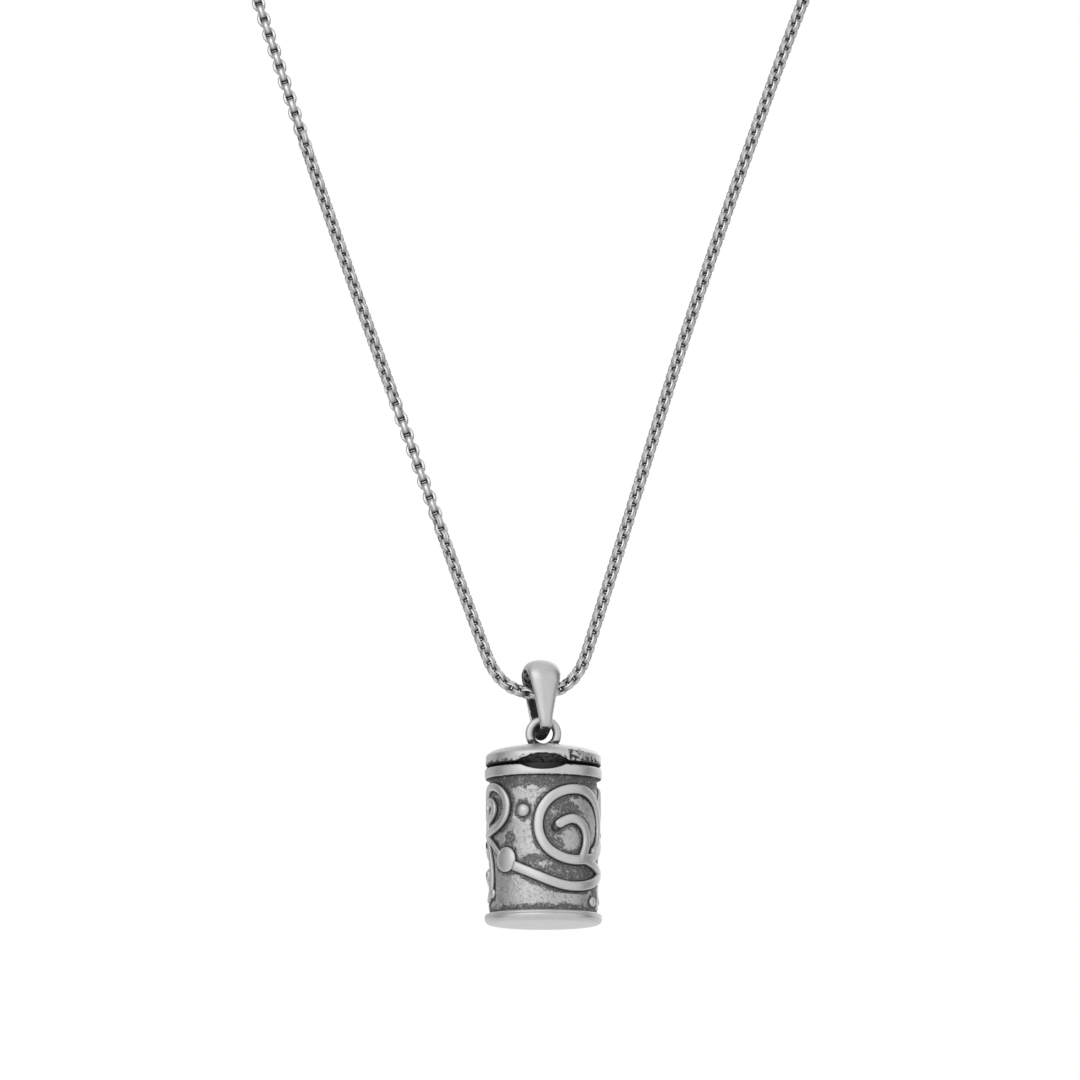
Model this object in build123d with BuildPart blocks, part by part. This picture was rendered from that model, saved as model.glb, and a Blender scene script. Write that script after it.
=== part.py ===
"""A silver canister pendant on a round box chain.

The pendant is a small lidded cylinder with wire scrolls and grains on its wall. Its lid is
hinged at the back and hangs by an eye from a puffed bail, and the chain closes with a lobster
clasp. Everything is in millimetres, +Z up, with the front of the canister facing -Y. The origin
is the top of the chain loop, where it rests on whatever carries it.
"""

import math
import os

from build123d import *

os.makedirs("parts", exist_ok=True)

# ---------------------------------------------------------------- driving dimensions
DROP = 216.0  # from the top of the loop down to the canister's base

RIM_R = 8.5
BARREL_R = 7.75
MOUTH_R = 6.95
RELIEF_R = 8.4
BASE_RIM_H = 1.5
RIM_BOTTOM = 21.0
RIM_TOP = 22.75
RIM_LIP_T = 0.6
LID_R = 8.33
LID_BOTTOM = 23.0
LID_EDGE_TOP = 24.6
DOME_TOP = 26.2
BOSS_R = 2.3
FLOOR_T = 1.1
ROUND = 0.55

NOTCH_W = 7.5
NOTCH_H = 1.1
DIP_W = 6.3
DIP_D = 0.85

LIP_R = 6.7
LIP_WALL = 0.7
LIP_DEPTH = 1.5

PIN_R = 0.5
PIN_FIT = 0.05
PIN_Y = 9.5
PIN_H = 22.88
KNUCKLE_R = 1.1
KNUCKLE_HALF = 1.25
KNUCKLE_END = 3.2
KNUCKLE_GAP = 0.12
SWEEP_GAP = 0.2

EYE_H = 27.8
EYE_R = 2.6
EYE_HOLE_R = 1.35
EYE_T = 1.1

BAIL_TWIST = 17.0
BAIL_TOP = 38.6
BAIL_BOTTOM = 26.85
BAIL_OUT = 3.1
BAIL_IN = 2.35
BAIL_FOOT_OUT = 2.9
BAIL_FOOT_IN = 1.8
BAIL_FOOT_T = 1.3
BAIL_EXTRUDE = 3.5
# Half the bail's width at heights up its side: the foot, the leg, the shoulder and the crown.
BAIL_SIDE = [(0.5, 26.7), (1.05, 30.2), (1.6, 33.4), (2.15, 35.1), (2.4, 36.7), (1.65, 38.3), (0, 38.9)]

CHAIN_D = 2.0
CHAIN_R = CHAIN_D / 2
BEND_SHARE = 0.45  # of the shorter run beside each bend

CAP_R = 1.15
CAP_L = 2.4
CAP_EYE_R = 1.05
CAP_EYE_HOLE = 0.6
CAP_EYE_T = 0.8

RING_R = 1.9
RING_WIRE = 0.36

CLASP_T = 2.2
CLASP_SLOT = 1.1
LEVER_T = 0.9
RIVET_R = 0.45
RIVET_FIT = 0.05


def up(height):
    """The z of a height above the canister's base."""
    return height - DROP


def facing(angle, height=0.0):
    """A plane through the canister's axis that looks out at an angle round from the front."""
    a = math.radians(angle)
    across = (math.cos(a), math.sin(a), 0)
    outward = (math.sin(a), -math.cos(a), 0)
    return Plane(origin=(0, 0, up(height)), x_dir=across, z_dir=outward)


def keep_on_wall():
    """Trims the part being built to the thin shell that the relief stands in."""
    with BuildSketch(Plane.XY.offset(up(BASE_RIM_H))) as shell:
        Circle(RELIEF_R)
        Circle(BARREL_R, mode=Mode.SUBTRACT)
    extrude(shell.sketch, amount=RIM_BOTTOM - BASE_RIM_H, mode=Mode.INTERSECT)


def write(builder, name):
    """Labels a finished piece and saves it."""
    builder.part.label = name
    export_step(builder.part, f"parts/{name}.step")
    print(f"{name}: {builder.part.volume:.2f} mm3, {len(builder.part.solids())} solid(s)")


# ---------------------------------------------------------------- canister
# The thumb dip in the mouth rim and the notch in the lid are arcs of these radii.
DIP_R = (DIP_W**2 / 4 + DIP_D**2) / (2 * DIP_D)
NOTCH_R = (NOTCH_W**2 / 4 + NOTCH_H**2) / (2 * NOTCH_H)


def cut_thumb_dip():
    """Cuts the shallow dip for a thumb nail out of the front of the part being built."""
    with BuildSketch(Plane.XZ) as dip:
        with Locations((0, up(RIM_TOP - DIP_D + DIP_R))):
            Circle(DIP_R)
    extrude(dip.sketch, amount=RIM_R + 1, mode=Mode.SUBTRACT)


with BuildPart() as barrel:
    with BuildSketch(Plane.XY.offset(up(FLOOR_T))):
        Circle(BARREL_R)
        Circle(MOUTH_R, mode=Mode.SUBTRACT)
    extrude(amount=RIM_TOP - RIM_LIP_T - FLOOR_T)
    cut_thumb_dip()
write(barrel, "barrel")

with BuildPart() as base_plate:
    with BuildSketch(Plane.XY.offset(up(0))):
        Circle(RIM_R)
    extrude(amount=FLOOR_T)
    fillet(base_plate.edges().group_by(Axis.Z)[0], ROUND * 0.9)
write(base_plate, "base_plate")

with BuildPart() as base_rim:
    with BuildSketch(Plane.XY.offset(up(FLOOR_T))):
        Circle(RIM_R)
        Circle(BARREL_R, mode=Mode.SUBTRACT)
    extrude(amount=BASE_RIM_H - FLOOR_T)
    fillet(base_rim.edges().group_by(Axis.Z)[-1].sort_by(SortBy.LENGTH)[-1], 0.3)
write(base_rim, "base_rim")

with BuildPart() as mouth_rim:
    with BuildSketch(Plane.XY.offset(up(RIM_BOTTOM))):
        Circle(RIM_R)
        Circle(BARREL_R, mode=Mode.SUBTRACT)
    extrude(amount=RIM_TOP - RIM_LIP_T - RIM_BOTTOM)
    with BuildSketch(Plane.XY.offset(up(RIM_TOP - RIM_LIP_T))):
        Circle(RIM_R)
        Circle(MOUTH_R, mode=Mode.SUBTRACT)
    extrude(amount=RIM_LIP_T)
    outer = mouth_rim.edges().filter_by(GeomType.CIRCLE).filter_by(lambda e: e.radius > RIM_R - 0.01)
    fillet(outer, ROUND)
    cut_thumb_dip()
    with BuildSketch(Plane.YZ):
        with Locations((PIN_Y, up(PIN_H))):
            Circle(KNUCKLE_R + SWEEP_GAP)
    extrude(amount=KNUCKLE_HALF + KNUCKLE_GAP, both=True, mode=Mode.SUBTRACT)
write(mouth_rim, "mouth_rim")

# ---------------------------------------------------------------- relief on the wall
BAND_W = 1.35
FINE_W = 1.1
RELIEF_SIDES = {"front": 0.0, "rear": 180.0}

for side, turn in RELIEF_SIDES.items():
    with BuildPart() as large_scroll:
        with BuildSketch(facing(37 + turn, 13.9)):
            Ellipse(5.8 + BAND_W / 2, 5.05 + BAND_W / 2)
            Ellipse(5.8 - BAND_W / 2, 5.05 - BAND_W / 2, mode=Mode.SUBTRACT)
        extrude(amount=RIM_R)
        with BuildSketch(facing(37 + turn, 13.9)):
            with BuildLine():
                tip = ThreePointArc((-3.0, -0.1), (-0.6, 1.3), (1.9, -0.4))
                ThreePointArc(tip @ 1, (2.5, -2.4), (1.7, -4.6))
            trace(line_width=BAND_W)
            with Locations((-3.0, -0.1)):
                Circle(BAND_W / 2)
        extrude(amount=RIM_R)
        keep_on_wall()
    write(large_scroll, f"large_scroll_{side}")

    with BuildPart() as leaf_stem:
        with BuildSketch(facing(27 + turn, 0)):
            with BuildLine():
                stem = ThreePointArc((-6.6, 7.6), (-1.5, 5.35), (3.6, 5.5))
                ThreePointArc(stem @ 1, (5.3, 6.2), (6.9, 8.2))
            trace(line_width=BAND_W)
        extrude(amount=RIM_R)
        keep_on_wall()
    write(leaf_stem, f"leaf_stem_{side}")

    with BuildPart() as small_scroll:
        with BuildSketch(facing(-60 + turn, 16.2)):
            Circle(2.8 + FINE_W / 2)
            Circle(2.8 - FINE_W / 2, mode=Mode.SUBTRACT)
        extrude(amount=RIM_R)
        with BuildSketch(facing(-60 + turn, 16.2)):
            Circle(1.0)
            with BuildLine():
                ThreePointArc((0.3, 0.6), (-1.2, 0.9), (-2.5, -0.6))
            trace(line_width=FINE_W * 0.8)
        extrude(amount=RIM_R)
        keep_on_wall()
    write(small_scroll, f"small_scroll_{side}")

    with BuildPart() as side_vine:
        with BuildSketch(facing(-72 + turn, 0)):
            with BuildLine():
                ThreePointArc((-1.9, 12.3), (-0.6, 8.5), (-1.1, 4.6))
            trace(line_width=FINE_W)
        extrude(amount=RIM_R)
        keep_on_wall()
    write(side_vine, f"side_vine_{side}")

# A short wire runs from each small scroll down to the grain at the stem's foot.
with BuildPart() as grain_wires:
    for turn in RELIEF_SIDES.values():
        with BuildSketch(facing(-60 + turn, 0)):
            with BuildLine():
                Line((-0.45, 12.45), (0.65, 10.9))
            trace(line_width=FINE_W)
        extrude(amount=RIM_R)
    keep_on_wall()
write(grain_wires, "grain_wires")

# The domed discs at the stems' feet, then the pearls and the small grains.
DISCS = [(-45, 9.0, 1.75)]
PEARLS = [(-22, 15.9, 0.95)]
GRAINS = [(-66, 3.3, 0.75), (62, 3.0, 0.75)]

for name, grains in {"foot_discs": DISCS, "pearls": PEARLS, "small_grains": GRAINS}.items():
    with BuildPart() as grain_set:
        for turn in RELIEF_SIDES.values():
            for angle, height, radius in grains:
                with BuildSketch(facing(angle + turn, height)):
                    Circle(radius)
                extrude(amount=RIM_R)
        keep_on_wall()
    write(grain_set, name)

# ---------------------------------------------------------------- lid
with BuildPart() as lid_plate:
    with BuildSketch(Plane.XZ):
        with BuildLine():
            Polyline((0, up(LID_BOTTOM)), (LID_R, up(LID_BOTTOM)), (LID_R, up(LID_EDGE_TOP)))
            ThreePointArc((LID_R, up(LID_EDGE_TOP)), (5.3, up(25.6)), (BOSS_R, up(DOME_TOP)))
            Polyline((BOSS_R, up(DOME_TOP)), (0, up(DOME_TOP)), (0, up(LID_BOTTOM)))
        make_face()
    revolve(axis=Axis.Z)
    rim_edges = lid_plate.edges().filter_by(GeomType.CIRCLE)
    fillet(rim_edges.filter_by(lambda e: e.radius > LID_R - 0.01), 0.35)
    with BuildSketch(Plane.XZ.offset(LIP_R + 0.2)):
        with Locations((0, up(LID_BOTTOM + NOTCH_H - NOTCH_R))):
            Circle(NOTCH_R)
    extrude(amount=LID_R - LIP_R, mode=Mode.SUBTRACT)
write(lid_plate, "lid_plate")

with BuildPart() as lid_lip:
    with BuildSketch(Plane.XY.offset(up(LID_BOTTOM - LIP_DEPTH))):
        Circle(LIP_R)
        Circle(LIP_R - LIP_WALL, mode=Mode.SUBTRACT)
    extrude(amount=LIP_DEPTH)
    fillet(lid_lip.edges().group_by(Axis.Z)[0].sort_by(SortBy.LENGTH)[-1], 0.25)
write(lid_lip, "lid_lip")

with BuildPart() as lid_eye:
    with BuildSketch(Plane.XZ):
        with Locations((0, up(EYE_H))):
            Circle(EYE_R)
            Circle(EYE_HOLE_R, mode=Mode.SUBTRACT)
    extrude(amount=EYE_T / 2, both=True)
    fillet(lid_eye.edges().filter_by(GeomType.CIRCLE), 0.18)
    split(bisect_by=Plane.XY.offset(up(DOME_TOP)), keep=Keep.TOP)
write(lid_eye, "lid_eye")

# ---------------------------------------------------------------- hinge at the back
WEB_START = 7.5

with BuildPart() as lid_knuckle:
    with BuildSketch(Plane.YZ):
        with Locations((PIN_Y, up(PIN_H))):
            Circle(KNUCKLE_R)
        with Locations((WEB_START, up(LID_BOTTOM))):
            Rectangle(PIN_Y - WEB_START, PIN_H + KNUCKLE_R - LID_BOTTOM, align=(Align.MIN, Align.MIN))
        with Locations((PIN_Y, up(PIN_H))):
            Circle(PIN_R + PIN_FIT, mode=Mode.SUBTRACT)
    extrude(amount=KNUCKLE_HALF, both=True)
    add(lid_plate.part, mode=Mode.SUBTRACT)
write(lid_knuckle, "lid_knuckle")

with BuildPart() as rim_knuckles:
    for outward in (-1, 1):
        with BuildSketch(Plane.YZ.offset(outward * (KNUCKLE_HALF + KNUCKLE_GAP))):
            with Locations((PIN_Y, up(PIN_H))):
                Circle(KNUCKLE_R)
            with Locations((WEB_START, up(PIN_H - KNUCKLE_R))):
                Rectangle(PIN_Y - WEB_START, RIM_TOP - PIN_H + KNUCKLE_R, align=(Align.MIN, Align.MIN))
            with Locations((PIN_Y, up(PIN_H))):
                Circle(PIN_R, mode=Mode.SUBTRACT)
        extrude(amount=outward * (KNUCKLE_END - KNUCKLE_HALF - KNUCKLE_GAP))
    add(mouth_rim.part, mode=Mode.SUBTRACT)
    add(barrel.part, mode=Mode.SUBTRACT)
write(rim_knuckles, "rim_knuckles")

with BuildPart() as hinge_pin:
    with BuildSketch(Plane.YZ):
        with Locations((PIN_Y, up(PIN_H))):
            Circle(PIN_R)
    extrude(amount=KNUCKLE_END, both=True)
write(hinge_pin, "hinge_pin")

# ---------------------------------------------------------------- bail
twist = math.radians(BAIL_TWIST)
bail_across = (math.cos(twist), math.sin(twist), 0)
bail_back = (-math.sin(twist), math.cos(twist), 0)
bail_front = (math.sin(twist), -math.cos(twist), 0)

with BuildPart() as bail:
    with BuildSketch(Plane(origin=(0, 0, 0), x_dir=bail_back, z_dir=bail_across)):
        with Locations((0, up(BAIL_TOP - BAIL_OUT))):
            Circle(BAIL_OUT)
        with Locations((0, up(BAIL_BOTTOM + BAIL_FOOT_OUT))):
            Circle(BAIL_FOOT_OUT)
        make_hull()
    extrude(amount=BAIL_EXTRUDE, both=True)
    with BuildSketch(Plane(origin=(0, 0, 0), x_dir=bail_back, z_dir=bail_across)):
        with Locations((0, up(BAIL_TOP - BAIL_OUT))):
            Circle(BAIL_IN)
        with Locations((0, up(BAIL_BOTTOM + BAIL_FOOT_T + BAIL_FOOT_IN))):
            Circle(BAIL_FOOT_IN)
        make_hull()
    extrude(amount=BAIL_EXTRUDE, both=True, mode=Mode.SUBTRACT)
    with BuildSketch(Plane(origin=(0, 0, 0), x_dir=bail_across, z_dir=bail_front)):
        with BuildLine():
            side = [(half, up(height)) for half, height in BAIL_SIDE]
            Line((0, side[0][1]), side[0])
            ThreePointArc(*side[0:3])
            ThreePointArc(*side[2:5])
            ThreePointArc(*side[4:7])
            mirror(about=Plane.YZ)
        make_face()
    extrude(amount=BAIL_EXTRUDE, both=True, mode=Mode.INTERSECT)
write(bail, "bail")

# ---------------------------------------------------------------- clasp at the top of the loop
# The clasp lies along X. Each ring's wire bears on the side of the eye that the chain pulls it to.
TOUCH = 0.09
HOOK_TOUCH = 0.4
LOOP_Z = up(DROP)
CLASP_EYE_X = 3.26
CLASP_EYE_R = 1.4
CLASP_EYE_HOLE = 0.75
CLASP_EYE_T = 1.0
CLASP_MID_X = -1.6
CLASP_LONG = 4.7
CLASP_HIGH = 3.0
WINDOW_MID = (-2.2, LOOP_Z + 0.15)
WINDOW_LONG = 2.8
WINDOW_HIGH = 1.55
HOOK_X = WINDOW_MID[0] - WINDOW_LONG
RIVET_X = 1.3
RIVET_Z = LOOP_Z - 1.0
CAP_REACH = 0.75

# The gate is the gap in the clasp's lower side that the lever closes.
GATE_LEFT = -4.1
GATE_RIGHT = 0.9
GATE_LOW = -3.3
GATE_HIGH = -0.2
GATE_GAP = 0.3
LEVER_RIGHT = 1.5
LEVER_HEAD_R = 0.85
THUMB_TAB = (0.75, 1.2)
SLOT_LEFT = 0.1
SLOT_SIZE = (2.4, 4.2)
SPRING_X = 2.1
SPRING_R = 0.36
SPRING_HOLE = 0.2
SPRING_L = 0.86

jump_x = CLASP_EYE_X + CLASP_EYE_HOLE - RING_WIRE - TOUCH + RING_R
right_eye_x = jump_x + RING_R - RING_WIRE - TOUCH + CAP_EYE_HOLE
end_x = HOOK_X + RING_WIRE + HOOK_TOUCH - RING_R
left_eye_x = end_x - RING_R + RING_WIRE + TOUCH - CAP_EYE_HOLE
chain_start_x = right_eye_x + CAP_REACH + CAP_L
chain_end_x = left_eye_x - CAP_REACH - CAP_L


def clasp_ring():
    """The clasp's outline without its eye: an oval with an oval window."""
    with Locations((CLASP_MID_X, LOOP_Z)):
        Ellipse(CLASP_LONG, CLASP_HIGH)
    with Locations(WINDOW_MID):
        Ellipse(WINDOW_LONG, WINDOW_HIGH, mode=Mode.SUBTRACT)


with BuildPart() as clasp_body:
    with BuildSketch(Plane.XZ):
        clasp_ring()
        with Locations((CLASP_EYE_X, LOOP_Z)):
            Circle(CLASP_EYE_HOLE, mode=Mode.SUBTRACT)
        with Locations((CLASP_EYE_X - CLASP_EYE_R, LOOP_Z)):
            Rectangle(2 * CLASP_EYE_R, 2 * CLASP_EYE_R, align=(Align.MIN, Align.CENTER), mode=Mode.SUBTRACT)
        with Locations((GATE_LEFT, LOOP_Z + GATE_LOW)):
            gate_size = (GATE_RIGHT - GATE_LEFT, GATE_HIGH - GATE_LOW)
            Rectangle(*gate_size, align=(Align.MIN, Align.MIN), mode=Mode.SUBTRACT)
    extrude(amount=CLASP_T / 2, both=True)
    with BuildSketch(Plane.XZ):
        with Locations((CLASP_EYE_X, LOOP_Z)):
            Circle(CLASP_EYE_R)
            Circle(CLASP_EYE_HOLE, mode=Mode.SUBTRACT)
    extrude(amount=CLASP_EYE_T / 2, both=True)
    with BuildSketch(Plane.XZ):
        with Locations((SLOT_LEFT, LOOP_Z + GATE_LOW)):
            Rectangle(*SLOT_SIZE, align=(Align.MIN, Align.MIN))
    extrude(amount=CLASP_SLOT / 2, both=True, mode=Mode.SUBTRACT)
    with BuildSketch(Plane.XZ):
        with Locations((RIVET_X, RIVET_Z)):
            Circle(RIVET_R)
    extrude(amount=CLASP_T, both=True, mode=Mode.SUBTRACT)
write(clasp_body, "clasp_body")

with BuildPart() as clasp_lever:
    with BuildSketch(Plane.XZ):
        clasp_ring()
        with Locations((GATE_LEFT + GATE_GAP, LOOP_Z + GATE_LOW)):
            lever_size = (LEVER_RIGHT - GATE_LEFT - GATE_GAP, GATE_HIGH - GATE_LOW - 0.1)
            Rectangle(*lever_size, align=(Align.MIN, Align.MIN), mode=Mode.INTERSECT)
        with Locations((RIVET_X, RIVET_Z)):
            Circle(LEVER_HEAD_R)
        with Locations((RIVET_X + 0.35, LOOP_Z - 2.6)):
            Ellipse(*THUMB_TAB)
        with Locations((RIVET_X, RIVET_Z)):
            Circle(RIVET_R + RIVET_FIT, mode=Mode.SUBTRACT)
    extrude(amount=LEVER_T / 2, both=True)
write(clasp_lever, "clasp_lever")

with BuildPart() as clasp_rivet:
    with BuildSketch(Plane.XZ):
        with Locations((RIVET_X, RIVET_Z)):
            Circle(RIVET_R)
    extrude(amount=CLASP_T / 2, both=True)
write(clasp_rivet, "clasp_rivet")

with BuildPart() as clasp_spring:
    with BuildSketch(Plane.XY.offset(LOOP_Z + 0.02)):
        with Locations((SPRING_X, 0)):
            Circle(SPRING_R)
            Circle(SPRING_HOLE, mode=Mode.SUBTRACT)
    extrude(amount=SPRING_L)
write(clasp_spring, "clasp_spring")

for name, ring_x in {"jump_ring": jump_x, "end_ring": end_x}.items():
    with BuildPart() as wire_ring:
        with BuildSketch(Plane.XZ):
            with Locations((RING_R, 0)):
                Circle(RING_WIRE)
        revolve(axis=Axis.Z)
    wire_ring.part.position = (ring_x, 0, LOOP_Z)
    write(wire_ring, name)

for side, eye_x, outward in (("right", right_eye_x, 1), ("left", left_eye_x, -1)):
    with BuildPart() as end_cap:
        with BuildSketch(Plane.XZ):
            with Locations((eye_x, LOOP_Z)):
                Circle(CAP_EYE_R)
            with Locations((eye_x + outward * CAP_REACH / 2, LOOP_Z)):
                Rectangle(CAP_REACH, CAP_EYE_R * 2)
            with Locations((eye_x, LOOP_Z)):
                Circle(CAP_EYE_HOLE, mode=Mode.SUBTRACT)
        extrude(amount=CAP_EYE_T / 2, both=True)
        with BuildSketch(Plane.YZ.offset(eye_x + outward * CAP_REACH)):
            with Locations((0, LOOP_Z)):
                Circle(CAP_R)
        extrude(amount=outward * CAP_L)
    write(end_cap, f"end_cap_{side}")

# ---------------------------------------------------------------- chain
# The route runs from the right cap, down the right side, through the bail and up the left side.
ROUTE = [
    (chain_start_x, DROP),
    (24.0, DROP),
    (38.3, 208.0),
    (48.4, 193.0),
    (51.2, 174.0),
    (45.6, 154.0),
    (37.7, 135.3),
    (29.0, 111.0),
    (20.5, 86.0),
    (14.0, 64.5),
    (8.0, 45.0),
    (4.4, 33.7),
    (-6.1, 33.7),
    (-10.2, 44.5),
    (-18.0, 66.5),
    (-28.0, 94.5),
    (-35.0, 115.0),
    (-41.6, 135.3),
    (-48.4, 155.0),
    (-52.4, 174.5),
    (-49.2, 193.5),
    (-39.0, 208.2),
    (-25.0, DROP),
    (chain_end_x, DROP),
]
corners = [Vector(x, 0, up(height)) for x, height in ROUTE]


def bend_radius(before, corner, after):
    """The largest tidy arc at a corner: a share of its shorter run over the half turn's tangent."""
    first = corner - before
    second = after - corner
    half_turn = math.radians(first.get_angle(second)) / 2
    return BEND_SHARE * min(first.length, second.length) / math.tan(half_turn)


radii = [bend_radius(*corners[i - 1 : i + 2]) for i in range(1, len(corners) - 1)]

with BuildPart() as chain:
    with BuildLine() as route:
        FilletPolyline(*corners, radius=radii)
    with BuildSketch(Plane(origin=route.line @ 0, z_dir=route.line % 0)):
        Circle(CHAIN_R)
    sweep()
write(chain, "chain")

length = sum(edge.length for edge in route.line.edges())
expected = math.pi * CHAIN_R**2 * length
closed = length + chain_start_x - chain_end_x
print("bend radii:", [round(r, 1) for r in radii])
print(f"chain length {length:.1f} mm, closed loop {closed:.1f} mm")
print(f"chain volume {chain.part.volume:.1f} mm3 against {expected:.1f} mm3")
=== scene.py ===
"""Looks for a silver canister pendant on a round box chain, laid out as a Blender add-on."""

import math

import bmesh
import bpy
import numpy as np
from bpy.props import FloatProperty, FloatVectorProperty, IntProperty, PointerProperty
from mathutils import Matrix, Vector


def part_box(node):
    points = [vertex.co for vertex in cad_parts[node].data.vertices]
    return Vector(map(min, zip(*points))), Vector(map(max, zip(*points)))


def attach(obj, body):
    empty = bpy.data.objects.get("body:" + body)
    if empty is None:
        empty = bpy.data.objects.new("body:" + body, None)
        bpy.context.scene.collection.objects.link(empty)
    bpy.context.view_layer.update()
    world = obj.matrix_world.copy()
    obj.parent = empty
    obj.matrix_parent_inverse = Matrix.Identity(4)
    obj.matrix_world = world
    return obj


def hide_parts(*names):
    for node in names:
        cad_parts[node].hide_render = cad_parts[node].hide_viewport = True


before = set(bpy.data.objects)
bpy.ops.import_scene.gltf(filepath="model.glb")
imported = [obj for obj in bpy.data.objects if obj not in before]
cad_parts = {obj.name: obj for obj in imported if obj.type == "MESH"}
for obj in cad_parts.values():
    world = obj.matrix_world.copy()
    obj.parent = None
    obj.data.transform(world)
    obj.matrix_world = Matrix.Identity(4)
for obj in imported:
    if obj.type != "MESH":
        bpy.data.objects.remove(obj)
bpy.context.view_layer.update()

bl_info = {
    "name": "Canister Pendant",
    "version": (1, 0, 0),
    "blender": (4, 5, 0),
    "location": "View3D > Sidebar > Pendant",
    "description": "Builds a silver canister pendant, its bail and its chain round the packed frame",
    "category": "Object",
}

MM = 0.001
BASE_LOW, BASE_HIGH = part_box("base_plate")
DROP = -BASE_LOW.z / MM

# ---------------------------------------------------------------- sizes and colours


def length(name, description, default, low, high):
    """A length in metres that a user can change."""
    return FloatProperty(
        name=name, description=description, default=default, min=low, max=high,
        subtype="DISTANCE", unit="LENGTH",
    )


def tone(name, description, default):
    """A colour that a user can change."""
    return FloatVectorProperty(
        name=name, description=description, default=default, size=3, min=0, max=1, subtype="COLOR",
    )


class PendantSizes(bpy.types.PropertyGroup):
    """Sizes of the pendant's own details."""

    chain_width: length("Chain width", "Diameter of the round box chain", 0.002, 0.001, 0.004)
    link_count: IntProperty(
        name="Links",
        description="How many links the chain has from cap to cap",
        default=357, min=40, max=800,
    )
    scroll_rise: length(
        "Scroll rise", "How far the wire scrolls stand out of the canister's wall",
        0.00058, 0.0002, 0.001,
    )
    plateau_rise: length(
        "Plateau rise", "How far the worn plateaus of the wall stand above its dark ground",
        0.00014, 0.0, 0.0003,
    )


class PendantFinish(bpy.types.PropertyGroup):
    """Colours of the silver and its patina."""

    satin: tone("Satin silver", "Colour of the rubbed, raised silver", (0.57, 0.57, 0.567))
    bright: tone("Bright silver", "Colour of the polished chain", (0.84, 0.84, 0.833))
    worn: tone("Worn plateau", "Colour of the rubbed ground between the scrolls", (0.5, 0.5, 0.497))
    patina: tone("Patina", "Colour of the blackened ground", (0.155, 0.155, 0.158))


class PendantStage(bpy.types.PropertyGroup):
    """The camera and the floor."""

    distance: length("Camera distance", "From the camera to the pendant", 1.6, 0.3, 5)
    frame_width: length("View width", "Width of the view at the pendant", 0.1569, 0.05, 1)
    rise: FloatProperty(
        name="Look up",
        description="How far the camera looks upwards",
        default=math.radians(7.5), min=-1.5, max=1.5, subtype="ANGLE", unit="ROTATION",
    )
    floor_drop: length("Floor drop", "From the canister's base down to the floor", 0.2, 0.0, 1)


# ---------------------------------------------------------------- node trees in Python


def operator(operation, turned=False):
    """An operator of Wire that adds a Math node, turned for its reflected form."""

    def act(wire, other):
        pair = (other, wire) if turned else (wire, other)
        return wire.graph.math(operation, *pair)

    return act


class Wire:
    """A node's output that takes Python's operators, each of which adds a Math node."""

    __add__ = operator("ADD")
    __radd__ = operator("ADD", turned=True)
    __sub__ = operator("SUBTRACT")
    __rsub__ = operator("SUBTRACT", turned=True)
    __mul__ = operator("MULTIPLY")
    __rmul__ = operator("MULTIPLY", turned=True)
    __truediv__ = operator("DIVIDE")
    __pow__ = operator("POWER")
    __mod__ = operator("MODULO")

    def __init__(self, graph, socket):
        self.graph = graph
        self.socket = socket

    def __neg__(self):
        return self * -1.0

    def other(self, name):
        """Another output of the same node."""
        return Wire(self.graph, self.socket.node.outputs[name])

    def clamped(self):
        """The value kept between 0 and 1."""
        return self.graph.add(
            "ShaderNodeMath", {"operation": "ADD", "use_clamp": True}, {0: self, 1: 0.0}
        )


class Graph:
    """Adds nodes to one tree."""

    def __init__(self, tree):
        self.tree = tree

    def add(self, kind, settings=None, inputs=None, output=0):
        """One node of a kind: its settings first, then its sockets' values or links."""
        node = self.tree.nodes.new(kind)
        for name, value in (settings or {}).items():
            if name == "stops":
                ramp = node.color_ramp
                while len(ramp.elements) < len(value):
                    ramp.elements.new(0.5)
                for element, (place, tone) in zip(ramp.elements, value):
                    element.position = place
                    element.color = (tone, tone, tone, 1)
            else:
                setattr(node, name, value)
        for name, value in (inputs or {}).items():
            socket = node.inputs[name]
            if isinstance(value, Wire):
                self.tree.links.new(value.socket, socket)
            else:
                socket.default_value = value
        return Wire(self, node.outputs[output]) if len(node.outputs) else node

    def math(self, operation, a, b=0.0):
        return self.add("ShaderNodeMath", {"operation": operation}, {0: a, 1: b})

    def vector(self, operation, a, b=None, output=0):
        inputs = {0: a} if b is None else {0: a, 1: b}
        return self.add("ShaderNodeVectorMath", {"operation": operation}, inputs, output)

    def scaled(self, vector, factor):
        return self.add("ShaderNodeVectorMath", {"operation": "SCALE"}, {0: vector, "Scale": factor})

    def mix(self, factor, a, b):
        """A colour between two colours."""
        settings = {"data_type": "RGBA", "clamp_factor": True}
        return self.add("ShaderNodeMix", settings, {0: factor, 6: a, 7: b}, output=2)

    def tinted(self, shade, tone):
        """A colour of three numbers, made lighter or darker by a value."""
        return self.add("ShaderNodeCombineColor", {}, {k: shade * tone[k] for k in range(3)})

    def painted(self, name):
        """A number that a material reads from its mesh."""
        return self.add("ShaderNodeAttribute", {"attribute_name": name}, {}, output="Fac")

    def stored(self, name):
        """A number that a Geometry Nodes tree reads from its points."""
        kind = "GeometryNodeInputNamedAttribute"
        return self.add(kind, {"data_type": "FLOAT"}, {"Name": name}, output="Attribute")


# ---------------------------------------------------------------- finishes
# The patina's tones where it fills pits, lies down a wire's flanks and fills grooves; the deep tone is
# also painted shade on the chain's links. The last tone paints shade at seams, under the lid and in
# hollows, and patina in the lid's pitted patch.
PIT_COLOUR = (0.07, 0.07, 0.072, 1)
FLANK_COLOUR = (0.05, 0.05, 0.052, 1)
DEEP_PATINA_AND_SHADE_COLOUR = (0.03, 0.03, 0.031, 1)
PATINA_AND_SHADE_TONE = (0.09, 0.09, 0.092)


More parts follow.
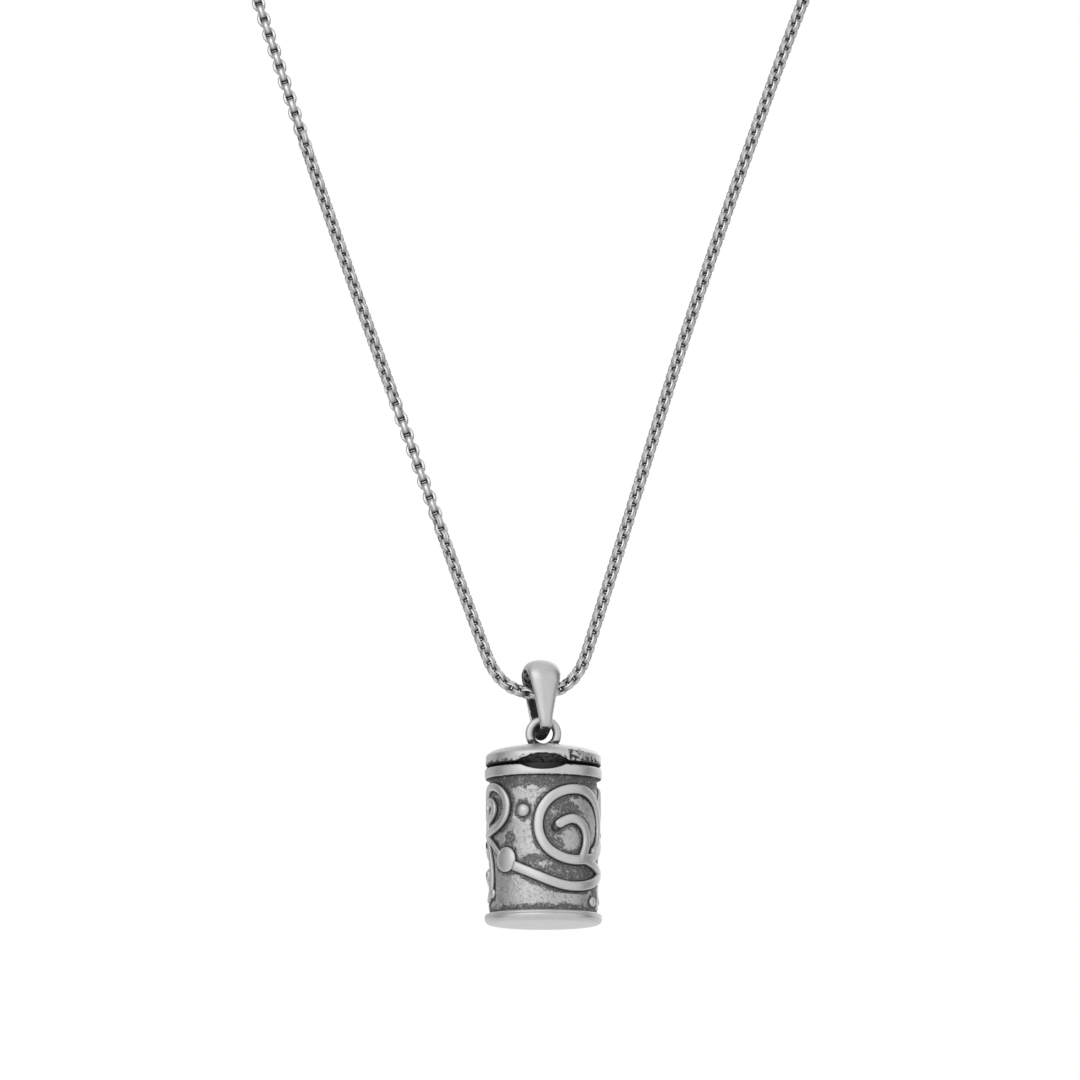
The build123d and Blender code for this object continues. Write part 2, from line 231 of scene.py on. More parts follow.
def start_material(name):
    """An empty material, its graph, and the object coordinates in metres."""
    material = bpy.data.materials.new(name)
    material.use_nodes = True
    tree = material.node_tree
    tree.nodes.clear()
    graph = Graph(tree)
    place = graph.add("ShaderNodeTexCoord", {}, {}, output="Object")
    return material, graph, place


def noise(graph, place, scale, detail=3.0, rough=0.55, stretch=None):
    """Noise from 0 to 1 whose grains are about 1/scale metres."""
    if stretch is not None:
        place = graph.vector("MULTIPLY", place, stretch)
    return graph.add(
        "ShaderNodeTexNoise",
        {"noise_dimensions": "3D"},
        {"Vector": place, "Scale": scale, "Detail": detail, "Roughness": rough},
    )


def metal(graph, colour, roughness, height, bump_depth):
    """The closing Principled shader of a metal finish."""
    inputs = {"Base Color": colour, "Metallic": 1.0, "Roughness": roughness}
    if height is not None:
        bump = {"Height": height, "Distance": bump_depth, "Strength": 1.0}
        inputs["Normal"] = graph.add("ShaderNodeBump", {}, bump)
    surface = graph.add("ShaderNodeBsdfPrincipled", {}, inputs)
    graph.add("ShaderNodeOutputMaterial", {}, {"Surface": surface})


def satin_material(name, tone, pits, roughness=0.42):
    """Rubbed silver: clouded tone, fine rubbing marks, scattered pits with patina in them."""
    material, graph, place = start_material(name)
    cloud = noise(graph, place, 420.0, 3.0)
    grain = noise(graph, place, 5200.0, 2.0)
    rubbing = noise(graph, place, 1500.0, 2.0, 0.6, stretch=(1.0, 1.0, 6.0))
    spots = noise(graph, place, 1900.0, 2.0, 0.6)
    where = noise(graph, place, 260.0, 2.0)
    # The stored mask paints shade at seams, under the lid and in hollows, and patina in the lid's pitted
    # patch; with the spot noise it also lays scattered patina specks.
    soot = graph.painted("soot")
    pit = ((spots + (where - 0.5) * 0.55 - (0.79 - pits)) * 22.0).clamped()
    patina_and_shade_mask = ((soot - 0.5 + (spots - 0.5) * 1.5 + (grain - 0.5) * 0.4) * 4.5 + 0.3).clamped()
    shade = 0.86 + cloud * 0.2 + (grain - 0.5) * 0.1 + (rubbing - 0.5) * 0.06
    clean = graph.tinted(shade, tone)
    colour = graph.mix(pit * 0.82, clean, PIT_COLOUR)
    black = soot * soot * 0.055
    patina_and_shade_colour = graph.add("ShaderNodeCombineColor", {}, {k: PATINA_AND_SHADE_TONE[k] - black for k in range(3)})
    colour = graph.mix(patina_and_shade_mask, colour, patina_and_shade_colour)
    rough = roughness + (cloud - 0.5) * 0.16 + pit * 0.2 + (grain - 0.5) * 0.08 + patina_and_shade_mask * 0.2
    height = rubbing * 0.25 + grain * 0.2 - pit * 0.9 + cloud * 0.5
    metal(graph, colour, rough, height, 0.00003)
    return material


def scroll_material(tone):
    """The raised wires: rubbed on their crowns, blackened down their flanks."""
    material, graph, place = start_material("rubbed_scroll_silver")
    flank = graph.painted("flank")
    cloud = noise(graph, place, 500.0, 3.0)
    grain = noise(graph, place, 4200.0, 3.0, 0.6)
    dark = ((flank - 0.8 + (grain - 0.5) * 0.3) * 6.0).clamped()
    shade = 0.84 + cloud * 0.24 + (grain - 0.5) * 0.14
    clean = graph.tinted(shade, tone)
    colour = graph.mix(dark * 0.9, clean, FLANK_COLOUR)
    rough = 0.44 + (cloud - 0.5) * 0.14 + dark * 0.2
    metal(graph, colour, rough, cloud * 0.5 + grain * 0.3, 0.00003)
    return material


def ground_material(worn, patina):
    """The canister's wall: worn plateaus with ragged edges over a blackened, pitted ground."""
    material, graph, place = start_material("oxidised_silver_ground")
    tarnish, groove = graph.painted("tarnish"), graph.painted("groove")
    coarse = noise(graph, place, 1500.0, 4.0, 0.65)
    fine = noise(graph, place, 5500.0, 3.0, 0.6)
    cloud = noise(graph, place, 500.0, 2.0)
    dark = ((tarnish - 0.5 + (coarse - 0.5) * 2.3 + (fine - 0.5) * 2.4) * 1.9 + 0.45).clamped()
    shade = 0.8 + cloud * 0.25 + (coarse - 0.5) * 0.35 + (fine - 0.5) * 0.2
    clean = graph.tinted(shade, worn)
    soot_shade = 0.5 + fine * 0.6 + ((coarse - 0.53) * 6.0).clamped() * 1.6 + (cloud - 0.5) * 0.5
    soot = graph.tinted(soot_shade, patina)
    colour = graph.mix(dark, clean, soot)
    colour = graph.mix(groove * 0.8, colour, DEEP_PATINA_AND_SHADE_COLOUR)
    rough = 0.4 + dark * 0.2 + (fine - 0.5) * 0.12
    height = coarse * 0.7 + fine * 0.4 - dark * 0.8
    metal(graph, colour, rough, height, 0.00006)
    return material


def chain_material(tone):
    """Polished links, darkened by a stored mask of painted shade at their ends and inner faces, with
    painted reflection bands beside a bright middle stripe.
    """
    material, graph, place = start_material("polished_chain_silver")
    inside = graph.painted("inside")
    cloud = noise(graph, place, 900.0, 2.0)
    grain = noise(graph, place, 6000.0, 2.0)
    dark = (inside + (grain - 0.5) * 0.25 - 0.04).clamped()
    shade = 0.86 + cloud * 0.2
    clean = graph.tinted(shade, tone)
    colour = graph.mix(dark * 0.93, clean, DEEP_PATINA_AND_SHADE_COLOUR)
    rough = 0.24 + cloud * 0.1 + dark * 0.25
    metal(graph, colour, rough, grain * 0.5 + cloud, 0.00001)
    return material


FINISHES = {}


def finish_for(name):
    """The finish of that name, made the first time it is asked for."""
    tones = bpy.context.scene.pendant_finish
    # The inner finish is a near-black copy of satin: painted shade for parts deep in the gap under the
    # lid.
    inner_shade_tone = [c * 0.08 for c in tones.satin]
    fitting_tone = [c * 0.72 for c in tones.bright]
    makers = {
        "satin": lambda: satin_material("satin_silver", tones.satin, 0.0),
        "pitted": lambda: satin_material("pitted_satin_silver", tones.satin, 0.03),
        "inner": lambda: satin_material("shade_painted_inner_silver", inner_shade_tone, 0.06, 0.5),
        "bright": lambda: satin_material("bright_silver", fitting_tone, -0.02, 0.26),
        "scroll": lambda: scroll_material(tones.satin),
        "ground": lambda: ground_material(tones.worn, tones.patina),
        "chain": lambda: chain_material(tones.bright),
    }
    if name not in FINISHES:
        FINISHES[name] = makers[name]()
    return FINISHES[name]


# ---------------------------------------------------------------- mesh helpers


def placed(name, data):
    """A new object in the scene."""
    item = bpy.data.objects.new(name, data)
    bpy.context.scene.collection.objects.link(item)
    return item


def up(height):
    """Metres along Z for a height in millimetres above the canister's base."""
    return (height - DROP) * MM


def store(mesh, name, values):
    """Stores one number for each point of a mesh."""
    layer = mesh.attributes.new(name, "FLOAT", "POINT")
    layer.data.foreach_set("value", np.asarray(values, np.float32))


def mesh_piece(name, points, faces, finish, layers=None):
    """A smooth mesh object from points in metres, with doubles merged and faces turned outwards."""
    mesh = bpy.data.meshes.new(name)
    mesh.from_pydata([tuple(p) for p in np.asarray(points, float)], [], [tuple(f) for f in faces])
    for layer, values in (layers or {}).items():
        store(mesh, layer, values)
    tidy_mesh(mesh)
    mesh.materials.append(finish_for(finish))
    return placed(name, mesh)


def tidy_mesh(mesh):
    """Merges doubles, turns faces outwards and shades smooth."""
    work = bmesh.new()
    work.from_mesh(mesh)
    bmesh.ops.remove_doubles(work, verts=work.verts, dist=1e-7)
    bmesh.ops.dissolve_degenerate(work, edges=work.edges, dist=1e-8)
    bmesh.ops.recalc_face_normals(work, faces=work.faces)
    for face in work.faces:
        face.smooth = True
    work.to_mesh(mesh)
    work.free()


def joined(name, parts):
    """One object from several that share a finish."""
    work = bmesh.new()
    for part in parts:
        work.from_mesh(part.data)
    mesh = parts[0].data
    work.to_mesh(mesh)
    work.free()
    for part in parts[1:]:
        bpy.data.objects.remove(part)
    parts[0].name = name
    return parts[0]


def seat(piece, body, slot, *nodes):
    """Fixes a finished piece to its body and hides the CAD nodes it stands for; its slot is not used."""
    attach(piece, body)
    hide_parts(*nodes)
    return piece


def grid_faces(rows, columns, wrap_rows, wrap_columns):
    """Quads over a grid of points that is stored row by row."""
    faces = []
    for i in range(rows if wrap_rows else rows - 1):
        for j in range(columns if wrap_columns else columns - 1):
            i2, j2 = (i + 1) % rows, (j + 1) % columns
            faces.append((i * columns + j, i * columns + j2, i2 * columns + j2, i2 * columns + j))
    return faces


def softened(corners, radii, steps=5):
    """A closed profile whose corners are arcs of the radii given."""
    out = []
    count = len(corners)
    for i in range(count):
        a, b, c = (np.array(corners[(i + k) % count], float) for k in (-1, 0, 1))
        r = radii[i]
        u, v = (a - b) / np.linalg.norm(a - b), (c - b) / np.linalg.norm(c - b)
        half = math.acos(max(-1, min(1, float(u @ v)))) / 2
        if r <= 0 or half > 1.56:
            out.append(tuple(b))
            continue
        cut = min(r / math.tan(half), 0.49 * np.linalg.norm(a - b), 0.49 * np.linalg.norm(c - b))
        r = cut * math.tan(half)
        middle = b + (u + v) / np.linalg.norm(u + v) * r / math.sin(half)
        start, end = b + u * cut - middle, b + v * cut - middle
        a0, a1 = math.atan2(start[1], start[0]), math.atan2(end[1], end[0])
        turn = (a1 - a0 + math.pi) % (2 * math.pi) - math.pi
        for k in range(steps + 1):
            t = a0 + turn * k / steps
            out.append(tuple(middle + r * np.array([math.cos(t), math.sin(t)])))
    return out


def lathed(profile, columns, closed=True):
    """Points and faces of a profile of (radius, height) in mm turned about the canister's axis."""
    angles = np.arange(columns) * 2 * math.pi / columns
    r = np.array([p[0] for p in profile])[:, None] * np.ones(columns)
    h = np.array([p[1] for p in profile])[:, None] * np.ones(columns)
    t = np.ones((len(profile), 1)) * angles
    return t, r, h, grid_faces(len(profile), columns, closed, True)


def squared(angle, power):
    """Cosine and sine of an angle on a rounder or squarer circle."""
    c, s = math.cos(angle), math.sin(angle)
    return math.copysign(abs(c) ** power, c), math.copysign(abs(s) ** power, s)


def around(t, r, h):
    """World points from the angle from the front, the radius and the height, in mm."""
    points = np.stack([r * np.sin(t), -r * np.cos(t), h - DROP], -1) * MM
    return points.reshape(-1, 3)


def turned(name, profile, columns, finish, closed=True):
    """A piece turned from a profile about the canister's axis."""
    t, r, h, faces = lathed(profile, columns, closed)
    return mesh_piece(name, around(t, r, h), faces, finish)


def spool(name, axis, centre, radius, half, edge, finish, dome=0.0, columns=40):
    """A round bar along X or Y with softened ends, in mm."""
    profile = [(0.0, -half - dome), (radius * 0.55, -half - dome * 0.72), (radius - edge, -half)]
    for a in (0.5, 1.0, 1.57):
        profile.append((radius - edge * (1 - math.sin(a)), -half + edge * (1 - math.cos(a))))
    profile += [(r, -z) for r, z in reversed(profile)]
    angles = np.arange(columns) * 2 * math.pi / columns
    points = []
    for r, z in profile:
        for a in angles:
            side, rise = r * math.cos(a), r * math.sin(a)
            local = (z, side, rise) if axis == "X" else (side, z, rise)
            points.append([(centre[k] + local[k]) * MM for k in range(3)])
    return mesh_piece(name, points, grid_faces(len(profile), columns, False, True), finish)


def block(name, low, high, edge, finish):
    """A box between two corners in mm with softened edges."""
    work = bmesh.new()
    bmesh.ops.create_cube(work, size=1.0)
    for vertex in work.verts:
        for k in range(3):
            vertex.co[k] = (low[k] + (vertex.co[k] + 0.5) * (high[k] - low[k])) * MM
    bmesh.ops.bevel(work, geom=work.edges[:], offset=edge * MM, segments=3, affect="EDGES", profile=0.6)
    mesh = bpy.data.meshes.new(name)
    work.to_mesh(mesh)
    work.free()
    tidy_mesh(mesh)
    mesh.materials.append(finish_for(finish))
    return placed(name, mesh)


def ring_piece(name, centre, axis, major, radial, axial, finish, columns=64, around_wire=16, square=1.0):
    """A wire ring about the X, Y or Z axis, in mm, with an oval or squarer section."""
    points = []
    for i in range(columns):
        a = 2 * math.pi * i / columns
        for j in range(around_wire):
            c, s = squared(2 * math.pi * j / around_wire, square)
            r, w = major + radial * c, axial * s
            u, v = r * math.cos(a), r * math.sin(a)
            flat = {"X": (w, u, v), "Y": (u, w, v), "Z": (u, v, w)}[axis]
            points.append([(centre[k] + flat[k]) * MM for k in range(3)])
    return mesh_piece(name, points, grid_faces(columns, around_wire, True, True), finish)


def made_by_tree(name, host_mesh, tree, values):
    """A plain mesh object from a Geometry Nodes tree that is run on a host mesh."""
    host = placed(name + "_host", host_mesh)
    modifier = host.modifiers.new("build", "NODES")
    modifier.node_group = tree
    for item in tree.interface.items_tree:
        if item.item_type == "SOCKET" and item.in_out == "INPUT" and item.name in values:
            modifier[item.identifier] = values[item.name]
    graph = bpy.context.evaluated_depsgraph_get()
    mesh = bpy.data.meshes.new_from_object(
        host.evaluated_get(graph), preserve_all_data_layers=True, depsgraph=graph
    )
    host.modifiers.remove(modifier)
    bpy.data.objects.remove(host)
    tidy_mesh(mesh)
    return placed(name, mesh)


def start_tree(name, inputs):
    """A Geometry Nodes tree with named inputs; returns its graph and the inputs' wires."""
    tree = bpy.data.node_groups.new(name, "GeometryNodeTree")
    tree.interface.new_socket("Geometry", in_out="INPUT", socket_type="NodeSocketGeometry")
    for label, (kind, default) in inputs.items():
        socket = tree.interface.new_socket(label, in_out="INPUT", socket_type=kind)
        if default is not None:
            socket.default_value = default
    tree.interface.new_socket("Geometry", in_out="OUTPUT", socket_type="NodeSocketGeometry")
    graph = Graph(tree)
    entry = tree.nodes.new("NodeGroupInput")
    wires = {s.name: Wire(graph, s) for s in entry.outputs if s.name}
    return graph, wires


def end_tree(graph, geometry, material):
    """Realizes the instances, sets the material and closes the tree."""
    real = graph.add("GeometryNodeRealizeInstances", {}, {"Geometry": geometry})
    smooth = graph.add("GeometryNodeSetShadeSmooth", {}, {"Geometry": real})
    done = graph.add("GeometryNodeSetMaterial", {}, {"Geometry": smooth, "Material": material})
    graph.add("NodeGroupOutput", {}, {"Geometry": done})
    return graph.tree


# ---------------------------------------------------------------- chain
# The route's points in metres, from the right cap round under the bail to the left cap.
ROUTE = [
    (0.01066, 0, 0), (0.024, 0, 0), (0.0383, 0, -0.008), (0.0484, 0, -0.023),
    (0.0512, 0, -0.042), (0.0456, 0, -0.062), (0.0377, 0, -0.0807), (0.029, 0, -0.105),
    (0.0205, 0, -0.13), (0.014, 0, -0.1515), (0.008, 0, -0.171), (0.0044, 0, -0.1823),
    (-0.0061, 0, -0.1823), (-0.0102, 0, -0.1715), (-0.018, 0, -0.1495), (-0.028, 0, -0.1215),
    (-0.035, 0, -0.101), (-0.0416, 0, -0.0807), (-0.0484, 0, -0.061), (-0.0524, 0, -0.0415),
    (-0.0492, 0, -0.0225), (-0.039, 0, -0.0078), (-0.025, 0, 0), (-0.01134, 0, 0),
]
# How far the links are turned about the route, in degrees, at places along it from 0 to 1.
CHAIN_TURNS = [
    (0.0, 45), (0.56, 45), (0.578, 0), (0.604, 0), (0.62, -45), (0.7, -45), (0.716, -90),
    (0.755, -90), (0.78, -135), (1.0, -135),
]


def route_points():
    """Points along the chain's own smooth line."""
    curve = bpy.data.curves.new("chain_route", "CURVE")
    curve.dimensions = "3D"
    spline = curve.splines.new("NURBS")
    spline.points.add(len(ROUTE) - 1)
    for point, place in zip(spline.points, ROUTE):
        point.co = (*place, 1.0)
    spline.order_u = 3
    spline.use_endpoint_u = True
    curve.resolution_u = 24
    holder = placed("chain_route", curve)
    graph = bpy.context.evaluated_depsgraph_get()
    mesh = bpy.data.meshes.new_from_object(holder.evaluated_get(graph))
    points = np.array([v.co[:] for v in mesh.vertices])
    bpy.data.objects.remove(holder)
    return points, mesh


def link_mesh(width):
    """One link: a rounded oval ring of flat strip, its ends along Z and its strip's width along Y."""
    scale = width / 0.002
    segments, points, inside = 12, [], []
    # Across the strip, out of the ring, and how much painted shade lies there: the darker bands either
    # side of the crown's bright middle are painted reflections, and the inner face is painted shade.
    strip = [(-0.5, 0.5, 0.0), (-0.26, 1.0, 0.7), (0.0, 1.0, 0.0), (0.26, 1.0, 0.7), (0.5, 0.5, 0.0),
             (0.0, -0.8, 1.0)]
    for i in range(segments):
        c, s = squared(2 * math.pi * (i + 0.5) / segments, 0.95)
        # The link's ends, where the next link passes through, get painted shade.
        bend = max(0.0, abs(s) - 0.56) / 0.38
        for w, d, patina in strip:
            lateral = (0.6 + 0.38 * d) * c
            along = (0.76 + 0.44 * d) * s
            points.append((lateral * MM * scale, w * MM * scale, along * MM * scale))
            inside.append(max(patina, min(1.0, bend)))
    mesh = bpy.data.meshes.new("link")
    mesh.from_pydata(points, [], grid_faces(segments, len(strip), True, True))
    store(mesh, "inside", inside)
    tidy_mesh(mesh)
    return mesh


def chain_tree():
    """Sets links along a line, each a quarter turn on from the last, turned further by 'turn'."""
    graph, entry = start_tree("links_along_route", {
        "Links": ("NodeSocketInt", 357),
        "Link": ("NodeSocketObject", None),
        "Finish": ("NodeSocketMaterial", None),
    })
    line = graph.add("GeometryNodeMeshToCurve", {}, {"Mesh": entry["Geometry"]})
    points = graph.add(
        "GeometryNodeCurveToPoints", {"mode": "COUNT"}, {"Curve": line, "Count": entry["Links"]}
    )
    order = graph.add("GeometryNodeInputIndex", {}, {})
    angle = graph.stored("turn") + (order % 2.0) * (math.pi / 2)
    aligned = graph.add(
        "FunctionNodeAxesToRotation",
        {"primary_axis": "Z", "secondary_axis": "Y"},
        {"Primary Axis": points.other("Tangent"), "Secondary Axis": (0.0, 1.0, 0.0)},
    )
    spin = graph.add("FunctionNodeAxisAngleToRotation", {}, {"Axis": (0.0, 0.0, 1.0), "Angle": angle})
    rotation = graph.add(
        "FunctionNodeRotateRotation", {"rotation_space": "LOCAL"},
        {"Rotation": aligned, "Rotate By": spin},
    )
    shape = graph.add("GeometryNodeObjectInfo", {}, {"Object": entry["Link"]}, output="Geometry")
    links = graph.add(
        "GeometryNodeInstanceOnPoints", {}, {"Points": points, "Instance": shape, "Rotation": rotation}
    )
    return end_tree(graph, links, entry["Finish"])


# ---------------------------------------------------------------- relief lines on the wall
WALL_R = 7.75
BORE_R = 6.95
WALL_LOW, WALL_HIGH = 1.1, 22.15
MOUTH_TOP = 22.75
# The radius at which the wall is unrolled to draw on it.
MAP_R = 8.2
# Width and depth of the dip in the mouth rim and of the notch in the lid, in mm.
THUMB_DIP = (6.6, 0.85)
LID_NOTCH = (7.5, 1.1)
# Centre lines of the wires as (degrees from the front, mm above the base), with their half width in
# mm and how they end: round, square or none.
LOOP_LINE = [
    (90, 11.6), (79, 10.55), (68, 9.72), (58, 9.25), (47, 8.98), (34, 8.83), (22, 9.05), (11, 9.72),
    (3.2, 10.63), (-2.6, 11.94), (-5.2, 13.44), (-4.2, 15.1), (0.4, 16.6), (8.4, 17.84), (19.1, 18.68),
    (31, 19.08), (43.5, 19.06), (55.5, 18.57), (66.5, 17.6), (76, 16.1), (81, 14.3), (79.5, 12.4),
    (72, 10.9), (62, 9.95),
]
CURL_LINE = [
    (13.5, 13.5), (16, 13.85), (22.5, 14.42), (31, 14.78), (40, 14.5), (47.5, 13.6), (51, 12.35),
    (50.6, 11.1), (47.5, 10.0), (44, 9.1), (40, 8.9),
]
TAIL_LINE = [(34, 8.83), (47, 8.95), (58, 8.62), (70, 8.1), (80, 7.55), (88, 7.3)]
STEM_LINE = [
    (88, 7.3), (79, 6.75), (68, 6.0), (54, 5.38), (40, 5.05), (25, 5.05), (11, 5.5), (-2, 6.2),
    (-15, 6.98), (-26, 7.62), (-33.5, 8.05),
]
SMALL_LINE = [
    (-90, 13.0), (-78, 13.1), (-66, 13.45), (-54, 14.05), (-46, 14.95), (-42, 16.1), (-42, 17.3),
    (-46.5, 18.5), (-55, 19.35), (-66, 19.75), (-77, 19.6), (-88, 18.9), (-93, 17.8), (-92, 16.5),
    (-86, 15.5), (-77, 15.1), (-68, 15.5), (-63, 16.4), (-66, 17.3), (-73, 17.6), (-79, 17.1),
]
SIDE_LINE = [
    (-84, 12.8), (-79, 11.6), (-74.5, 10.2), (-70, 8.6), (-68, 6.8), (-69.5, 5.2), (-75, 4.0),
    (-80, 3.0),
]
WIRE_LINE = [(-90, 13.0), (-76, 12.2), (-66, 11.4), (-57, 10.4), (-51, 9.6)]

RELIEF = {
    "large_scroll": [(LOOP_LINE, 0.72, "none", "square"), (CURL_LINE, 0.68, "round", "square"),
                     (TAIL_LINE, 0.66, "square", "round")],
    "leaf_stem": [(STEM_LINE, 0.7, "round", "square")],
    "small_scroll": [(SMALL_LINE, 0.6, "square", "round")],
    "side_vine": [(SIDE_LINE, 0.42, "round", "round")],
    "grain_wire": [(WIRE_LINE, 0.4, "square", "square")],
}
# Domed drops: degrees, mm above the base, radius and rise in mm.
DISCS = [(-44, 8.95, 1.85, 0.55)]
PEARLS = [(-22, 15.95, 0.95, 0.62)]
GRAINS = [(-69, 4.3, 0.75, 0.5), (64, 3.0, 0.75, 0.5)]


def smooth_line(points, spacing=0.22):
    """A relief line as evenly spaced points in mm along the unrolled wall."""
    flat = np.array([(math.radians(a) * MAP_R, h) for a, h in points], float)
    padded = np.vstack([2 * flat[0] - flat[1], flat, 2 * flat[-1] - flat[-2]])
    fine = []
    for i in range(1, len(padded) - 2):
        p0, p1, p2, p3 = padded[i - 1 : i + 3]
        for t in np.arange(12) / 12:
            fine.append(0.5 * (2 * p1 + (p2 - p0) * t + (2 * p0 - 5 * p1 + 4 * p2 - p3) * t**2
                               + (3 * p1 - p0 - 3 * p2 + p3) * t**3))
    fine.append(flat[-1])
    fine = np.array(fine)
    run = np.concatenate([[0], np.cumsum(np.linalg.norm(np.diff(fine, axis=0), axis=1))])
    even = np.linspace(0, run[-1], max(8, int(run[-1] / spacing)))
    return np.stack([np.interp(even, run, fine[:, k]) for k in (0, 1)], 1), even


def band_widths(even, half, first, last):
    """Half widths along a line whose ends are rounded or squared."""
    width = np.full(len(even), half)
    for style, away in ((first, even), (last, even[-1] - even)):
        if style == "round":
            t = np.clip(away / half, 0, 1)
            width = np.minimum(width, half * np.sqrt(np.clip(1 - (1 - t) ** 2, 0, 1)))
        elif style == "square":
            width = np.minimum(width, half * np.clip(away / 0.2, 0, 1) ** 0.3)
    return width


def band_tree():
    """Sweeps a crowned band along an unrolled line and wraps it round the canister."""
    graph, entry = start_tree("band_on_wall", {
        "Radius": ("NodeSocketFloat", 0.00775),
        "Map Radius": ("NodeSocketFloat", 0.0082),
        "Rise": ("NodeSocketFloat", 0.0006),
        "Root": ("NodeSocketFloat", 0.0003),
        "Along": ("NodeSocketInt", 150),
        "Around": ("NodeSocketInt", 17),
        "Finish": ("NodeSocketMaterial", None),
    })
    line = graph.add("GeometryNodeMeshToCurve", {}, {"Mesh": entry["Geometry"]})
    sheet = graph.add(
        "GeometryNodeMeshGrid", {},
        {"Size X": 1.0, "Size Y": 1.0, "Vertices X": entry["Along"], "Vertices Y": entry["Around"]},
    )
    place = graph.add("GeometryNodeInputPosition", {}, {})
    parts = graph.add("ShaderNodeSeparateXYZ", {}, {0: place}, output="X")
    share = parts + 0.5
    sweep = (parts.other("Y") + 0.5) * (2 * math.pi)
    half_width = graph.add(
        "GeometryNodeSampleCurve", {"mode": "FACTOR", "data_type": "FLOAT", "use_all_curves": True},
        {"Curves": line, "Value": graph.stored("half_width"), "Factor": share}, output="Value",
    )
    side = graph.math("COSINE", sweep)
    rise = graph.math("SINE", sweep)
    sideways = graph.math("SIGN", side) * (graph.math("ABSOLUTE", side) ** 0.7)
    above = graph.math("MAXIMUM", rise, 0.0)
    below = graph.math("MAXIMUM", -rise, 0.0)
    full = graph.math("MINIMUM", half_width / 0.0004, 1.0)
    height = (above ** 0.45) * entry["Rise"] * (full ** 0.6) - (below ** 0.5) * entry["Root"]
    across = graph.vector("CROSS_PRODUCT", (0.0, 0.0, 1.0), half_width.other("Tangent"))
    offset = graph.scaled(across, half_width * sideways)
    flat = graph.vector("ADD", half_width.other("Position"), offset)
    spread = graph.add("ShaderNodeSeparateXYZ", {}, {0: flat}, output="X")
    angle = spread / entry["Map Radius"]
    radius = entry["Radius"] + height
    wrapped = graph.add("ShaderNodeCombineXYZ", {}, {
        0: radius * graph.math("SINE", angle),
        1: -(radius * graph.math("COSINE", angle)),
        2: spread.other("Y"),
    })
    marked = graph.add(
        "GeometryNodeStoreNamedAttribute", {"data_type": "FLOAT", "domain": "POINT"},
        {"Geometry": sheet, "Name": "flank", "Value": 1.0 - above},
    )
    moved = graph.add("GeometryNodeSetPosition", {}, {"Geometry": marked, "Position": wrapped})
    merged = graph.add("GeometryNodeMergeByDistance", {}, {"Geometry": moved, "Distance": 1e-7})
    return end_tree(graph, merged, entry["Finish"])


def drop_tree():
    """Sets flattened drops on the wall, each with its own radius and rise."""
    graph, entry = start_tree("drops_on_wall", {"Finish": ("NodeSocketMaterial", None)})
    ball = graph.add("GeometryNodeMeshUVSphere", {}, {"Segments": 32, "Rings": 18, "Radius": 1.0})
    place = graph.add("GeometryNodeInputPosition", {}, {})
    outward = graph.vector("MULTIPLY", place, (1.0, 1.0, 0.0))
    aligned = graph.add(
        "FunctionNodeAxesToRotation", {"primary_axis": "Z", "secondary_axis": "Y"},
        {"Primary Axis": outward, "Secondary Axis": (0.0, 0.0, 1.0)},
    )
    radius = graph.stored("radius")
    size = graph.add("ShaderNodeCombineXYZ", {}, {0: radius, 1: radius, 2: graph.stored("rise")})
    drops = graph.add("GeometryNodeInstanceOnPoints", {}, {
        "Points": entry["Geometry"], "Instance": ball, "Rotation": aligned, "Scale": size,
    })
    return end_tree(graph, drops, entry["Finish"])


def line_mesh(name, flat, widths):
    """A relief line as a mesh of edges on the unrolled wall, in metres, with its half widths."""
    mesh = bpy.data.meshes.new(name)
    points = [(s * MM, up(h), 0.0) for s, h in flat]
    mesh.from_pydata(points, [(i, i + 1) for i in range(len(points) - 1)], [])
    store(mesh, "half_width", widths * MM)
    return mesh


def value_noise(s, h, cell, seed, around_mm):
    """Smooth noise from 0 to 1 on the unrolled wall that closes up round the canister."""
    columns = max(4, int(round(around_mm / cell)))
    rows = int(40 / cell)
    table = np.random.RandomState(seed).rand(rows, columns)
    x, y = (s / around_mm * columns) % columns, np.clip(h / cell + 2, 0, rows - 2)
    i, j = np.floor(y).astype(int), np.floor(x).astype(int)
    fy, fx = y - i, x - j
    fy, fx = fy * fy * (3 - 2 * fy), fx * fx * (3 - 2 * fx)
    j2 = (j + 1) % columns
    j = j % columns
    top = table[i + 1, j] * (1 - fx) + table[i + 1, j2] * fx
    low = table[i, j] * (1 - fx) + table[i, j2] * fx
    return low * (1 - fy) + top * fy


def step_between(x, low, high):
    t = np.clip((x - low) / (high - low), 0, 1)
    return t * t * (3 - 2 * t)


def relief_distance(theta, height):
    """Distance in mm from wall points to the nearest edge of a wire or drop."""
    t = (theta + math.pi / 2) % math.pi - math.pi / 2
    best = np.full(t.shape, 1e9)
    for bands in RELIEF.values():
        for points, half, first, last in bands:
            flat, even = smooth_line(points, 0.35)
            for shift in (-math.pi, 0.0, math.pi):
                s = (t + shift) * MAP_R
                for (s0, h0), (s1, h1) in zip(flat[:-1], flat[1:]):
                    near = (s > min(s0, s1) - 3) & (s < max(s0, s1) + 3)
                    near &= abs(height - (h0 + h1) / 2) < 3.5
                    if not near.any():
                        continue
                    ds, dh = s1 - s0, h1 - h0
                    a, b = s[near] - s0, height[near] - h0
                    k = np.clip((a * ds + b * dh) / (ds * ds + dh * dh), 0, 1)
                    d = np.hypot(a - k * ds, b - k * dh) - half
                    best[near] = np.minimum(best[near], d)
    for angle, h0, radius, rise in DISCS + PEARLS + GRAINS:
        for shift in (-math.pi, 0.0, math.pi):
            s = (t + shift - math.radians(angle)) * MAP_R
            best = np.minimum(best, np.hypot(s, height - h0) - radius)
    return best


